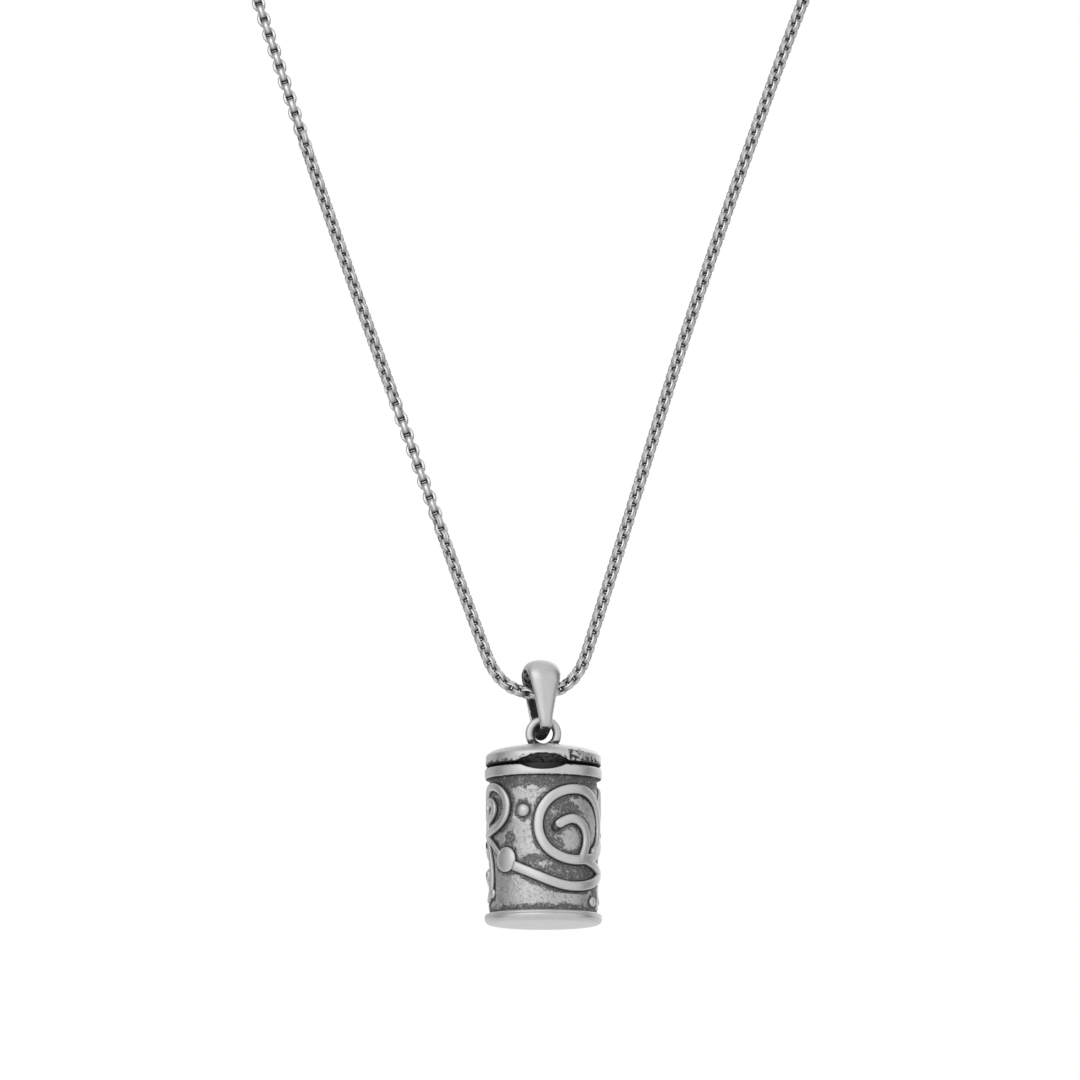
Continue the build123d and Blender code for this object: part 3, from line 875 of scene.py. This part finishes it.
# Places on the wall that stay dark: degrees, mm above the base, half width in degrees and half height
# in mm.
DARK_PLACES = [
    (4, 13.4, 11, 2.6), (14, 11.1, 9, 1.2), (62, 7.3, 22, 1.1), (30, 7.2, 34, 1.15), (26, 16.6, 16, 0.9),
    (34, 15.6, 18, 0.5), (-10, 8.9, 12, 0.7), (-60, 16.2, 14, 2.2), (70, 3.6, 8, 1.8), (84, 8.9, 6, 1.2),
    (-38, 12.0, 7, 1.0),
]
# Places that are rubbed pale although a wire is near.
PALE_PLACES = [
    (34, 11.6, 10, 1.0), (58, 16.4, 12, 1.0), (68, 14.3, 5, 1.9), (46, 17.2, 12, 0.5),
    (-17, 12.3, 7, 2.2), (-30, 4.3, 30, 1.1), (30, 3.5, 26, 0.55), (-12, 18.6, 11, 1.0),
]


def build_wall(rise):
    """The barrel's outer wall with worn plateaus, its inner wall and its two ends."""
    columns, rows = 480, 176
    heights = np.concatenate([[WALL_LOW], np.linspace(1.5, 21.0, rows), [WALL_HIGH]])
    t = np.ones((len(heights), 1)) * (np.arange(columns) * 2 * math.pi / columns)
    h = heights[:, None] * np.ones(columns)
    around_mm = 2 * math.pi * MAP_R
    s = t * MAP_R
    distance = relief_distance(np.where(t > math.pi, t - 2 * math.pi, t), h)
    ragged = (value_noise(s, h, 0.9, 11, around_mm) - 0.5) * 0.7
    ragged = ragged + (value_noise(s, h, 0.32, 12, around_mm) - 0.5) * 0.6
    fine = value_noise(s, h, 0.2, 13, around_mm)
    worn = step_between(distance + ragged * 0.6, 0.22, 0.95)
    worn *= step_between(h + ragged * 0.8, 1.9, 2.6) * (1 - step_between(h + ragged * 0.9, 18.9, 19.8))
    turned = (t + math.pi / 2) % math.pi - math.pi / 2
    for angle, h0, wide, tall in DARK_PLACES + PALE_PLACES:
        off = (turned - math.radians(angle) + math.pi / 2) % math.pi - math.pi / 2
        reach = np.sqrt((off / math.radians(wide)) ** 2 + ((h - h0) / tall) ** 2) + ragged * 0.55
        inside = 1 - step_between(reach, 0.75, 1.15)
        if (angle, h0, wide, tall) in DARK_PLACES:
            worn = worn * (1 - 0.8 * inside)
        else:
            worn = np.maximum(worn, inside * step_between(distance, 0.25, 0.5))
    groove = 1 - step_between(distance, 0.02, 0.2)
    groove = np.where(distance < 0, 1.0, groove) * step_between(distance, -0.6, -0.3)
    tarnish = 1 - worn * (0.82 + 0.18 * fine)
    radius = WALL_R + worn * rise / MM + (fine - 0.5) * 0.05 - groove * 0.08
    free = step_between(h, 1.5, 1.9) * (1 - step_between(h, 20.6, 21.0))
    radius = WALL_R + (radius - WALL_R) * free
    dip = front_cut(t, np.full(t.shape, WALL_R), *THUMB_DIP)
    h[-1] = np.minimum(h[-1], MOUTH_TOP - dip[-1])
    inner_h = np.array([WALL_HIGH, 20.0, 14.0, 8.0, WALL_LOW])[:, None] * np.ones(columns)
    inner_t = np.ones((5, 1)) * t[0]
    inner_r = np.full(inner_t.shape, BORE_R)
    inner_h[0] = np.minimum(inner_h[0], MOUTH_TOP - front_cut(inner_t, inner_r, *THUMB_DIP)[0])
    points = around(np.vstack([t, inner_t]), np.vstack([radius, inner_r]), np.vstack([h, inner_h]))
    faces = grid_faces(len(heights) + 5, columns, True, True)
    blank = np.zeros((5, columns))
    layers = {
        "tarnish": np.vstack([tarnish, blank + 0.78]).ravel(),
        "groove": np.vstack([groove, blank]).ravel(),
    }
    return mesh_piece("canister_wall", points, faces, "ground", layers)


def arc_depth(x, width, depth):
    """Depth of a shallow circular cut of that width and depth at a distance from its middle."""
    radius = (width**2 / 4 + depth**2) / (2 * depth)
    return np.clip(np.sqrt(np.clip(radius**2 - x**2, 0, None)) - (radius - depth), 0, None)


def front_cut(t, r, width, depth):
    """Depth in mm of such a cut in the front edge of a rim."""
    x, y = r * np.sin(t), -r * np.cos(t)
    return np.where(y < 0, arc_depth(x, width, depth), 0.0)


# ---------------------------------------------------------------- bail
# Half width, and shift to the side, at heights above the canister's base, in mm.
BAIL_SIDE = [
    (26.8, 0.72), (28.4, 0.8), (30.2, 1.06), (31.5, 1.32), (33.4, 1.7), (35.1, 2.15), (36.7, 2.45),
    (38.9, 2.5),
]
BAIL_LEAN = [(27.4, -0.34), (28.6, -0.2), (30.5, -0.32), (38.6, -0.36)]
BAIL_TWIST = math.radians(17)
# The bent strip's outer and inner line: its top's middle and radius, then its foot's, in mm.
BAIL_OUTER = (35.5, 3.1, 29.75, 2.9)
BAIL_INNER = (35.5, 2.35, 29.95, 1.8)


def hull_loop(top, top_r, foot, foot_r, arc=28, run=16):
    """Points and outward directions round two circles, one above the other, in mm."""
    lean = math.asin((foot_r - top_r) / (top - foot))
    out = []
    for centre, radius, start, sweep, after, after_r in (
        (top, top_r, lean, math.pi - 2 * lean, foot, foot_r),
        (foot, foot_r, math.pi - lean, math.pi + 2 * lean, top, top_r),
    ):
        for k in range(arc):
            a = start + sweep * k / (arc - 1)
            c, s = math.cos(a), math.sin(a)
            out.append((radius * c, centre + radius * s, c, s))
        a = math.pi - lean if centre == top else lean
        c, s = math.cos(a), math.sin(a)
        for k in range(1, run):
            f = k / run
            y = radius * c * (1 - f) + after_r * c * f
            h = (centre + radius * s) * (1 - f) + (after + after_r * s) * f
            out.append((y, h, c, s))
    return np.array(out)


def build_bail():
    """The puffed bail: a strip bent into a loop, wide and crowned at its top, narrow at its foot."""
    outer = hull_loop(*BAIL_OUTER)
    inner = hull_loop(*BAIL_INNER)
    columns, points, soot = 32, [], []
    across = np.array([math.cos(BAIL_TWIST), math.sin(BAIL_TWIST), 0])
    back = np.array([-math.sin(BAIL_TWIST), math.cos(BAIL_TWIST), 0])
    widths = np.array(BAIL_SIDE)
    for (oy, oh, ny, nz), (iy, ih, _, _) in zip(outer, inner):
        thick = math.hypot(oy - iy, oh - ih)
        half = float(np.interp((oh + ih) / 2, widths[:, 0], widths[:, 1]))
        crown = float(np.interp(oh, [27, 31, 35, 38.6], [0.7, 0.85, 1.1, 1.5]))
        for k in range(columns):
            a = 2 * math.pi * k / columns
            c, s = math.cos(a), math.sin(a)
            if s >= 0:
                depth = -crown * (1 - s**0.9)
                x = half * c
            else:
                depth = -thick + (thick - crown) * (1 - abs(s) ** 0.8)
                x = half * c * (1 - 0.06 * abs(s))
            y, h = oy + ny * depth, oh + nz * depth
            lean = float(np.interp(h, [b[0] for b in BAIL_LEAN], [b[1] for b in BAIL_LEAN]))
            points.append((across * x + back * y + np.array([lean, 0, h - DROP])) * MM)
            # Painted shadow on the bail's foot inside the eye, and painted shade on the inner face of
            # the loop, stronger lower down.
            foot = max(0.0, min(1.0, (29.0 - h) / 0.8)) * 0.9
            deep = float(np.interp(h, [31.8, 33.6], [0.86, 0.56])) * float(step_between(-s, 0.3, 0.62))
            soot.append(max(deep, foot))
    return points, grid_faces(len(outer), columns, True, True), soot


# ---------------------------------------------------------------- operators


# The view's middle: mm to the right of the canister's axis and above its base.
VIEW_MIDDLE = (-0.49, 56.16)


class PENDANT_OT_stage(bpy.types.Operator):
    """Camera, soft studio lights, pale floor and backdrop"""

    bl_idname = "pendant.stage"
    bl_label = "Stage"

    def execute(self, context):
        stage = context.scene.pendant_stage
        target = Vector((VIEW_MIDDLE[0] * MM, 0.0, up(VIEW_MIDDLE[1])))
        camera = placed("studio_camera", bpy.data.cameras.new("studio_camera"))
        camera.data.sensor_width = 36.0
        camera.data.lens = 36.0 * stage.distance / stage.frame_width
        camera.data.clip_start, camera.data.clip_end = 0.05, 20.0
        back = Vector((0, -math.cos(stage.rise), -math.sin(stage.rise)))
        camera.location = target + back * stage.distance
        camera.rotation_euler = (-back).to_track_quat("-Z", "Y").to_euler()
        context.scene.camera = camera
        context.scene.view_settings.view_transform = "Standard"
        self.world(context.scene)
        self.lights()
        self.room(stage.floor_drop)
        return {"FINISHED"}

    def world(self, scene):
        world = bpy.data.worlds.new("studio_air")
        scene.world = world
        world.use_nodes = True
        world.node_tree.nodes.clear()
        graph = Graph(world.node_tree)
        path = graph.add("ShaderNodeLightPath", {}, {}, output="Is Camera Ray")
        place = graph.add("ShaderNodeTexCoord", {}, {}, output="Generated")
        side = graph.add("ShaderNodeSeparateXYZ", {}, {0: place}, output="Z")
        lit = graph.add(
            "ShaderNodeValToRGB", {"stops": [(0.0, 0.72), (0.42, 0.66), (0.6, 0.78), (1.0, 0.95)]},
            {0: side * 0.5 + 0.5},
        )
        seen = graph.mix(path, lit, (1.0, 1.0, 1.0, 1.0))
        air = graph.add("ShaderNodeBackground", {}, {"Color": seen, "Strength": 1.0})
        graph.add("ShaderNodeOutputWorld", {}, {"Surface": air})

    def lights(self):
        """Very wide, even lights: name, the way towards each, strength and spread in degrees."""
        washes = [
            ("key_wash", (-0.45, -0.9, 0.35), 0.75, 60.0),
            ("fill_wash", (0.9, -0.6, 0.2), 0.2, 60.0),
            ("rear_wash", (0.3, 0.9, 0.35), 0.5, 60.0),
        ]
        for name, towards, strength, spread in washes:
            light = bpy.data.lights.new(name, "SUN")
            light.energy = strength
            light.angle = math.radians(spread)
            lamp = placed(name, light)
            lamp.rotation_euler = (-Vector(towards)).to_track_quat("-Z", "Y").to_euler()

    def plain(self, name, grey, roughness):
        """A plain grey material."""
        material = bpy.data.materials.new(name)
        material.use_nodes = True
        shader = material.node_tree.nodes["Principled BSDF"]
        shader.inputs["Base Color"].default_value = (grey, grey, grey, 1)
        shader.inputs["Roughness"].default_value = roughness
        return material

    def room(self, floor_drop):
        pale = self.plain("pale_paper", 0.97, 0.9)
        work = bmesh.new()
        bmesh.ops.create_grid(work, x_segments=8, y_segments=8, size=20.0)
        mesh = bpy.data.meshes.new("studio_floor")
        work.to_mesh(mesh)
        work.free()
        mesh.transform(Matrix.Translation((0, 0, BASE_LOW.z - floor_drop)))
        mesh.materials.append(pale)
        placed("studio_floor", mesh)
        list(self.flags())

    def flags(self):
        """Dark cards beside the pendant that only its reflections see."""
        black = self.plain("flag_black", 0.01, 1.0)
        made = []
        near, far, low, high = -0.03, 0.13, -0.5, 0.25
        for name, x in (("left_flag", -0.42), ("right_flag", 0.42)):
            mesh = bpy.data.meshes.new(name)
            corners = [(x, near, low), (x, far, low), (x, far, high), (x, near, high)]
            mesh.from_pydata(corners, [], [(0, 1, 2, 3)])
            mesh.materials.append(black)
            flag = placed(name, mesh)
            flag.visible_camera = False
            made.append(flag)
        return made


# The clasp's outline and window as ovals: middle, half length and half height in mm.
CLASP_OUTSIDE = ((-1.6, 0.0), 4.7, 3.0)
CLASP_WINDOW = ((-2.2, 0.15), 2.8, 1.55)


class PENDANT_OT_fittings(bpy.types.Operator):
    """Clasp, rings and end caps at the top of the loop"""

    bl_idname = "pendant.fittings"
    bl_label = "Clasp and Rings"

    def execute(self, context):
        for node, low_high in (("jump_ring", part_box("jump_ring")), ("end_ring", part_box("end_ring"))):
            middle = (low_high[0] + low_high[1]) / 2 / MM
            ring = ring_piece(f"{node}_wire", tuple(middle), "Z", 1.9, 0.36, 0.36, "bright")
            seat(ring, "necklace", "bright_silver", node)
        for node, outward in (("end_cap_right", 1), ("end_cap_left", -1)):
            self.cap(node, outward)
        self.clasp()
        return {"FINISHED"}

    def cap(self, node, outward):
        low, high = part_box(node)
        mouth = (high.x if outward > 0 else low.x) / MM
        middle = mouth - outward * 1.2
        tube = spool(f"{node}_tube", "X", (middle, 0, 0), 1.15, 1.2, 0.18, "bright", dome=0.0)
        band = ring_piece(f"{node}_band", (mouth - outward * 0.3, 0, 0), "X", 1.12, 0.12, 0.2, "bright")
        eye_x = mouth - outward * (2.4 + 0.75)
        eye = ring_piece(f"{node}_loop", (eye_x, 0, 0), "Y", 0.83, 0.24, 0.4, "bright", 40, 12, 0.8)
        neck_low, neck_high = sorted((mouth - outward * 2.5, eye_x + outward * 0.68))
        neck = block(f"{node}_neck", (neck_low, -0.38, -0.5), (neck_high, 0.38, 0.5), 0.12, "bright")
        seat(joined(f"{node}_fitting", [tube, band, eye, neck]), "necklace", "bright_silver", node)

    def oval(self, angle, middle, wide, high):
        return np.array([middle[0] + wide * math.cos(angle), middle[1] + high * math.sin(angle)])

    def swept(self, name, outer_angles, inner_angles, depths, count, square):
        """A bar between the clasp's outer and inner ovals."""
        columns, points = 20, []
        for i in range(count):
            f = i / (count - 1)
            a = math.radians(outer_angles[0] + (outer_angles[1] - outer_angles[0]) * f)
            b = math.radians(inner_angles[0] + (inner_angles[1] - inner_angles[0]) * f)
            out = self.oval(a, *CLASP_OUTSIDE)
            into = self.oval(b, *CLASP_WINDOW)
            depth = depths[0] + (depths[1] - depths[0]) * min(1.0, f * 4)
            middle, half = (out + into) / 2, (out - into) / 2
            for end in ([0.0, 0.8] if i == 0 else [1.0]) + ([0.8, 0.0] if i == count - 1 else []):
                for k in range(columns):
                    c, s = squared(2 * math.pi * k / columns, square)
                    x, z = middle + half * c * end
                    points.append((x * MM, depth * s * end * MM, z * MM))
        faces = grid_faces(len(points) // columns, columns, False, True)
        return mesh_piece(name, points, faces, "bright")

    def clasp(self):
        body = self.swept("clasp_arm", (237.9, -57.9), (227.2, -5.0), (0.8, 1.1), 72, 0.72)
        cuts = {
            "slot": ((0.1, -0.55, -3.4), (2.5, 0.55, 0.9)),
            "bay": ((1.9, -2, -1.35), (4.7, 2, 1.35)),
        }
        for name, (low, high) in cuts.items():
            cutter = block(f"clasp_{name}", low, high, 0.05, "bright")
            cut = body.modifiers.new(name, "BOOLEAN")
            cut.object = cutter
            cut.solver = "EXACT"
            graph = bpy.context.evaluated_depsgraph_get()
            mesh = bpy.data.meshes.new_from_object(body.evaluated_get(graph))
            body.modifiers.remove(cut)
            body.data = mesh
            bpy.data.objects.remove(cutter)
        eye = ring_piece("clasp_eye", (3.26, 0, 0), "Y", 1.075, 0.325, 0.5, "bright", 48, 14, 0.8)
        neck = block("clasp_neck", (1.5, -0.48, 0.55), (2.75, 0.48, 1.75), 0.15, "bright")
        body = joined("clasp_claw", [body, eye, neck])
        for polygon in body.data.polygons:
            polygon.use_smooth = True
        body.data.set_sharp_from_angle(angle=math.radians(38))
        seat(body, "necklace", "bright_silver", "clasp_body")
        bar = self.swept("clasp_gate", (242.1, 304.0), (235.1, 318.0), (0.4, 0.45), 30, 0.75)
        head = spool("clasp_head", "Y", (1.3, 0, -1.0), 0.84, 0.45, 0.12, "bright")
        tab = spool("clasp_tab", "Y", (1.65, 0, -2.85), 0.72, 0.45, 0.2, "bright", dome=0.02)
        web = block("clasp_web", (1.0, -0.42, -2.8), (2.1, 0.42, -1.2), 0.15, "bright")
        lever = joined("clasp_thumb_lever", [bar, head, tab, web])
        seat(lever, "clasp_lever", "bright_silver", "clasp_lever")
        rivet = spool("clasp_pivot", "Y", (1.3, 0, -1.0), 0.44, 1.1, 0.1, "bright", dome=0.08)
        seat(rivet, "necklace", "bright_silver", "clasp_rivet")
        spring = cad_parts["clasp_spring"]
        spring.data.materials.clear()
        spring.data.materials.append(finish_for("bright"))


class PENDANT_OT_chain(bpy.types.Operator):
    """Round box chain from cap to cap, through the bail"""

    bl_idname = "pendant.chain"
    bl_label = "Chain"

    def execute(self, context):
        sizes = context.scene.pendant_sizes
        path, line = route_points()
        run = np.concatenate([[0], np.cumsum(np.linalg.norm(np.diff(path, axis=0), axis=1))])
        places = [p for p, _ in CHAIN_TURNS]
        turns = np.interp(run / run[-1], places, [math.radians(a) for _, a in CHAIN_TURNS])
        store(line, "turn", turns)
        link = placed("link_shape", link_mesh(sizes.chain_width))
        values = {"Links": sizes.link_count, "Link": link, "Finish": finish_for("chain")}
        chain = made_by_tree("box_chain", line, chain_tree(), values)
        bpy.data.objects.remove(link)
        seat(chain, "necklace", "bright_silver", "chain")
        return {"FINISHED"}


class PENDANT_OT_wall(bpy.types.Operator):
    """Canister wall and the silver wires and drops on it"""

    bl_idname = "pendant.wall"
    bl_label = "Wall and Relief"

    def execute(self, context):
        sizes = context.scene.pendant_sizes
        seat(build_wall(sizes.plateau_rise), "canister", "oxidised_silver", "barrel")
        tree = band_tree()
        wires = []
        for name, bands in RELIEF.items():
            for side, turn in (("front", 0.0), ("rear", math.pi)):
                parts = []
                for k, (points, half, first, last) in enumerate(bands):
                    flat, even = smooth_line(points)
                    flat = flat + np.array([turn * MAP_R, 0.0])
                    line = line_mesh(f"{name}_{k}", flat, band_widths(even, half, first, last))
                    values = {
                        "Radius": WALL_R * MM, "Map Radius": MAP_R * MM,
                        "Rise": sizes.scroll_rise * (1.0 if half > 0.5 else 0.85), "Root": 0.0003,
                        "Along": len(flat), "Around": 21, "Finish": finish_for("scroll"),
                    }
                    parts.append(made_by_tree(f"{name}_{side}_{k}", line, tree, values))
                if name == "grain_wire":
                    wires += parts
                else:
                    piece = joined(f"{name}_{side}_wire", parts)
                    seat(piece, "canister", "satin_silver", f"{name}_{side}")
        seat(joined("grain_wires_wire", wires), "canister", "satin_silver", "grain_wires")
        drops = drop_tree()
        for node, places in {"foot_discs": DISCS, "pearls": PEARLS, "small_grains": GRAINS}.items():
            points, radii, rises = [], [], []
            for turn in (0.0, math.pi):
                for angle, height, radius, rise in places:
                    a = math.radians(angle) + turn
                    points.append((WALL_R * MM * math.sin(a), -WALL_R * MM * math.cos(a), up(height)))
                    radii.append(radius * MM)
                    rises.append(rise * MM)
            mesh = bpy.data.meshes.new(node)
            mesh.from_pydata(points, [], [])
            store(mesh, "radius", radii)
            store(mesh, "rise", rises)
            piece = made_by_tree(f"{node}_drops", mesh, drops, {"Finish": finish_for("scroll")})
            seat(piece, "canister", "satin_silver", node)
        return {"FINISHED"}


# The hinge's middle and its tubes' radius, and the height of the eye's middle above the base, in mm.
HINGE = (0, 9.5, 22.88 - DROP)
HINGE_R = 1.08
EYE_HIGH = 27.8


class PENDANT_OT_rims(bpy.types.Operator):
    """Base plate, base rim and mouth rim"""

    bl_idname = "pendant.rims"
    bl_label = "Base and Rims"

    def execute(self, context):
        base = [
            (0, 0.0), (3.0, 0.0), (6.0, 0.0), (7.6, 0.02), (8.0, 0.1), (8.28, 0.28), (8.44, 0.55),
            (8.49, 0.8), (8.49, 1.09), (6.9, 1.1), (6.0, 1.1), (3.0, 1.1), (0, 1.1),
        ]
        disc = turned("base_disc", base, 192, "satin", closed=False)
        seat(disc, "canister", "satin_silver", "base_plate")
        rim = [(7.7, 1.1), (8.49, 1.1), (8.48, 1.25), (8.4, 1.4), (8.25, 1.5), (8.0, 1.56), (7.7, 1.5)]
        seat(turned("base_bead", rim, 192, "satin"), "canister", "satin_silver", "base_rim")
        self.mouth()
        return {"FINISHED"}

    def mouth(self):
        outline = [
            (7.7, 21.0), (8.45, 21.0), (8.5, MOUTH_TOP), (BORE_R, MOUTH_TOP),
            (BORE_R, WALL_HIGH), (7.7, WALL_HIGH),
        ]
        profile = softened(outline, [0.02, 0.5, 0.5, 0.22, 0.04, 0.02], 6)
        t, r, h, faces = lathed(profile, 320)
        dip = front_cut(t, r, *THUMB_DIP)
        share = np.clip((h - 21.3) / (MOUTH_TOP - 21.3), 0, 1)
        # The rim's top edge, in the seam under the lid, is darkened as painted shade.
        edge = 0.95 * step_between(h, 22.42, 22.62)
        h = h - dip * share
        points = around(t, r, h)
        # Clear the turning knuckle of the lid behind the rim.
        pin = np.array(HINGE[1:]) * MM
        away = points[:, 1:] - pin
        reach = np.linalg.norm(away, axis=1)
        clear = 1.3 * MM
        near = (abs(points[:, 0]) < 1.4 * MM) & (reach < clear)
        points[near, 1:] = pin + away[near] / reach[near][:, None] * clear
        # Painted shade on the rim's inner top under the lid and on its foot against the wall.
        soot = np.where((r < 8.1) & (h > 21.4), 0.62, 0.0) + np.where(h < 21.12, 0.8, 0.0)
        layers = {"soot": np.maximum(soot, edge).ravel()}
        band = mesh_piece("mouth_band", points, faces, "satin", layers)
        seat(band, "canister", "satin_silver", "mouth_rim")


class PENDANT_OT_lid(bpy.types.Operator):
    """Lid with its notch, lip, eye and hinge"""

    bl_idname = "pendant.lid"
    bl_label = "Lid and Hinge"

    def execute(self, context):
        corners = [(6.9, 23.0), (8.33, 23.0), (8.33, 24.62), (6.9, 25.2), (6.9, 23.4)]
        outer = softened(corners, [0, 0.22, 0.45, 0, 0], 6)
        side = [p for p in outer if p[0] > 6.95]
        profile = [(0, 23.0), (3.0, 23.0), (6.0, 23.0), (6.88, 23.0), (6.9, 23.0), (7.3, 23.0)] + side
        profile += [(7.6, 25.1), (6.7, 25.42), (5.3, 25.74), (3.6, 26.02), (2.3, 26.18), (1.2, 26.2)]
        profile.append((0, 26.2))
        t, r, h, faces = lathed(profile, 320, closed=False)
        notch = front_cut(t, r, *LID_NOTCH)
        lifted = np.where(r > 6.895, np.clip(1 - (h - 23.0) / 1.5, 0, 1), 0.0)
        # Painted shade along the lid's lower edge, in the seam above the rim.
        soot = 0.95 * (1 - step_between(h, 23.14, 23.34))
        h = h + notch * lifted
        # Painted shade on the lid's underside, inside its lip.
        soot = np.maximum(soot, np.where((r < 7.4) & (h < 24.2), 1.0, 0.0))
        # The ragged patch on the right is pitting and patina.
        ragged = value_noise(t * 8.3, h, 0.7, 31, 52.0)
        turn = np.degrees(t)
        patch = step_between(turn, 14, 30) * (1 - step_between(turn, 52, 84))
        patch = patch * step_between(h, 23.5, 23.9) * (1 - step_between(h, 24.8, 25.1))
        soot = np.maximum(soot, patch * (0.22 + 0.46 * ragged))
        # Painted shade in the front notch.
        soot = np.where((notch > 0.12) & (r > 6.85) & (r < 7.35) & (h < 24.2), 0.5, soot)
        layers = {"soot": soot.ravel()}
        cap = mesh_piece("lid_cap", around(t, r, h), faces, "pitted", layers)
        seat(cap, "lid", "satin_silver", "lid_plate")
        # The collar's near-black finish is painted shade in the gap under the lid.
        corners = [(6.0, 21.5), (6.7, 21.5), (6.7, 23.05), (6.0, 23.05)]
        collar = turned("lid_collar", softened(corners, [0.2, 0.28, 0.02, 0.02], 4), 160, "inner")
        seat(collar, "lid", "oxidised_silver", "lid_lip")
        middle = (0, 0, EYE_HIGH - DROP)
        eye = ring_piece("lid_loop", middle, "Y", 1.985, 0.63, 0.56, "satin", 96, 24, 0.9)
        places = np.array([v.co[:] for v in eye.data.vertices]) / MM
        reach = np.hypot(places[:, 0], places[:, 2] + DROP - EYE_HIGH)
        # Painted shade round the eye's hole, and at its foot where it meets the lid, darker on its left
        # side.
        soot = np.clip((1.62 - reach) / 0.2, 0, 1) * 0.9
        low = np.clip((27.5 - (places[:, 2] + DROP)) / 0.9, 0, 1)
        soot = np.maximum(soot, low * np.where(places[:, 0] < 0, 0.8, 0.66))
        store(eye.data, "soot", soot)
        seat(eye, "lid", "satin_silver", "lid_eye")
        barrel = spool("lid_barrel", "X", HINGE, HINGE_R, 1.25, 0.15, "satin")
        web = block("lid_web", (-1.25, 7.6, 23.02 - DROP), (1.25, 9.6, 23.96 - DROP), 0.12, "satin")
        seat(joined("lid_hinge_tube", [barrel, web]), "lid", "satin_silver", "lid_knuckle")
        parts = []
        for k, x in enumerate((-2.285, 2.285)):
            parts.append(spool(f"rim_barrel_{k}", "X", (x, *HINGE[1:]), HINGE_R, 0.915, 0.15, "satin"))
            low, high = (x - 0.915, 7.8, 21.8 - DROP), (x + 0.915, 9.6, 22.74 - DROP)
            parts.append(block(f"rim_web_{k}", low, high, 0.12, "satin"))
        seat(joined("rim_hinge_tubes", parts), "canister", "satin_silver", "rim_knuckles")
        pin = spool("hinge_rod", "X", HINGE, 0.5, 3.2, 0.12, "bright", dome=0.1)
        seat(pin, "canister", "satin_silver", "hinge_pin")
        return {"FINISHED"}


class PENDANT_OT_bail(bpy.types.Operator):
    """Puffed bail between the chain and the lid's eye"""

    bl_idname = "pendant.bail"
    bl_label = "Bail"

    def execute(self, context):
        points, faces, soot = build_bail()
        piece = mesh_piece("puffed_bail", points, faces, "satin", {"soot": soot})
        seat(piece, "bail", "satin_silver", "bail")
        return {"FINISHED"}


class PENDANT_PT_panel(bpy.types.Panel):
    """Lists the pendant's pieces in the sidebar"""

    bl_idname = "PENDANT_PT_panel"
    bl_label = "Canister Pendant"
    bl_space_type = "VIEW_3D"
    bl_region_type = "UI"
    bl_category = "Pendant"

    def draw(self, context):
        for maker in MAKERS:
            self.layout.operator(maker.bl_idname)
        for group in ("pendant_sizes", "pendant_finish", "pendant_stage"):
            settings = getattr(context.scene, group)
            box = self.layout.box()
            for name in settings.__annotations__:
                box.prop(settings, name)


MAKERS = [
    PENDANT_OT_stage, PENDANT_OT_fittings, PENDANT_OT_chain, PENDANT_OT_wall,
    PENDANT_OT_rims, PENDANT_OT_lid, PENDANT_OT_bail,
]
CLASSES = [PendantSizes, PendantFinish, PendantStage, *MAKERS, PENDANT_PT_panel]


def register():
    for item in CLASSES:
        bpy.utils.register_class(item)
    bpy.types.Scene.pendant_sizes = PointerProperty(type=PendantSizes)
    bpy.types.Scene.pendant_finish = PointerProperty(type=PendantFinish)
    bpy.types.Scene.pendant_stage = PointerProperty(type=PendantStage)


def unregister():
    for name in ("pendant_sizes", "pendant_finish", "pendant_stage"):
        delattr(bpy.types.Scene, name)
    for item in reversed(CLASSES):
        bpy.utils.unregister_class(item)


def main():
    register()
    bpy.ops.pendant.stage()
    bpy.ops.pendant.fittings()
    bpy.ops.pendant.chain()
    bpy.ops.pendant.wall()
    bpy.ops.pendant.rims()
    bpy.ops.pendant.lid()
    bpy.ops.pendant.bail()
    bpy.context.view_layer.update()


if __name__ == "__main__":
    main()
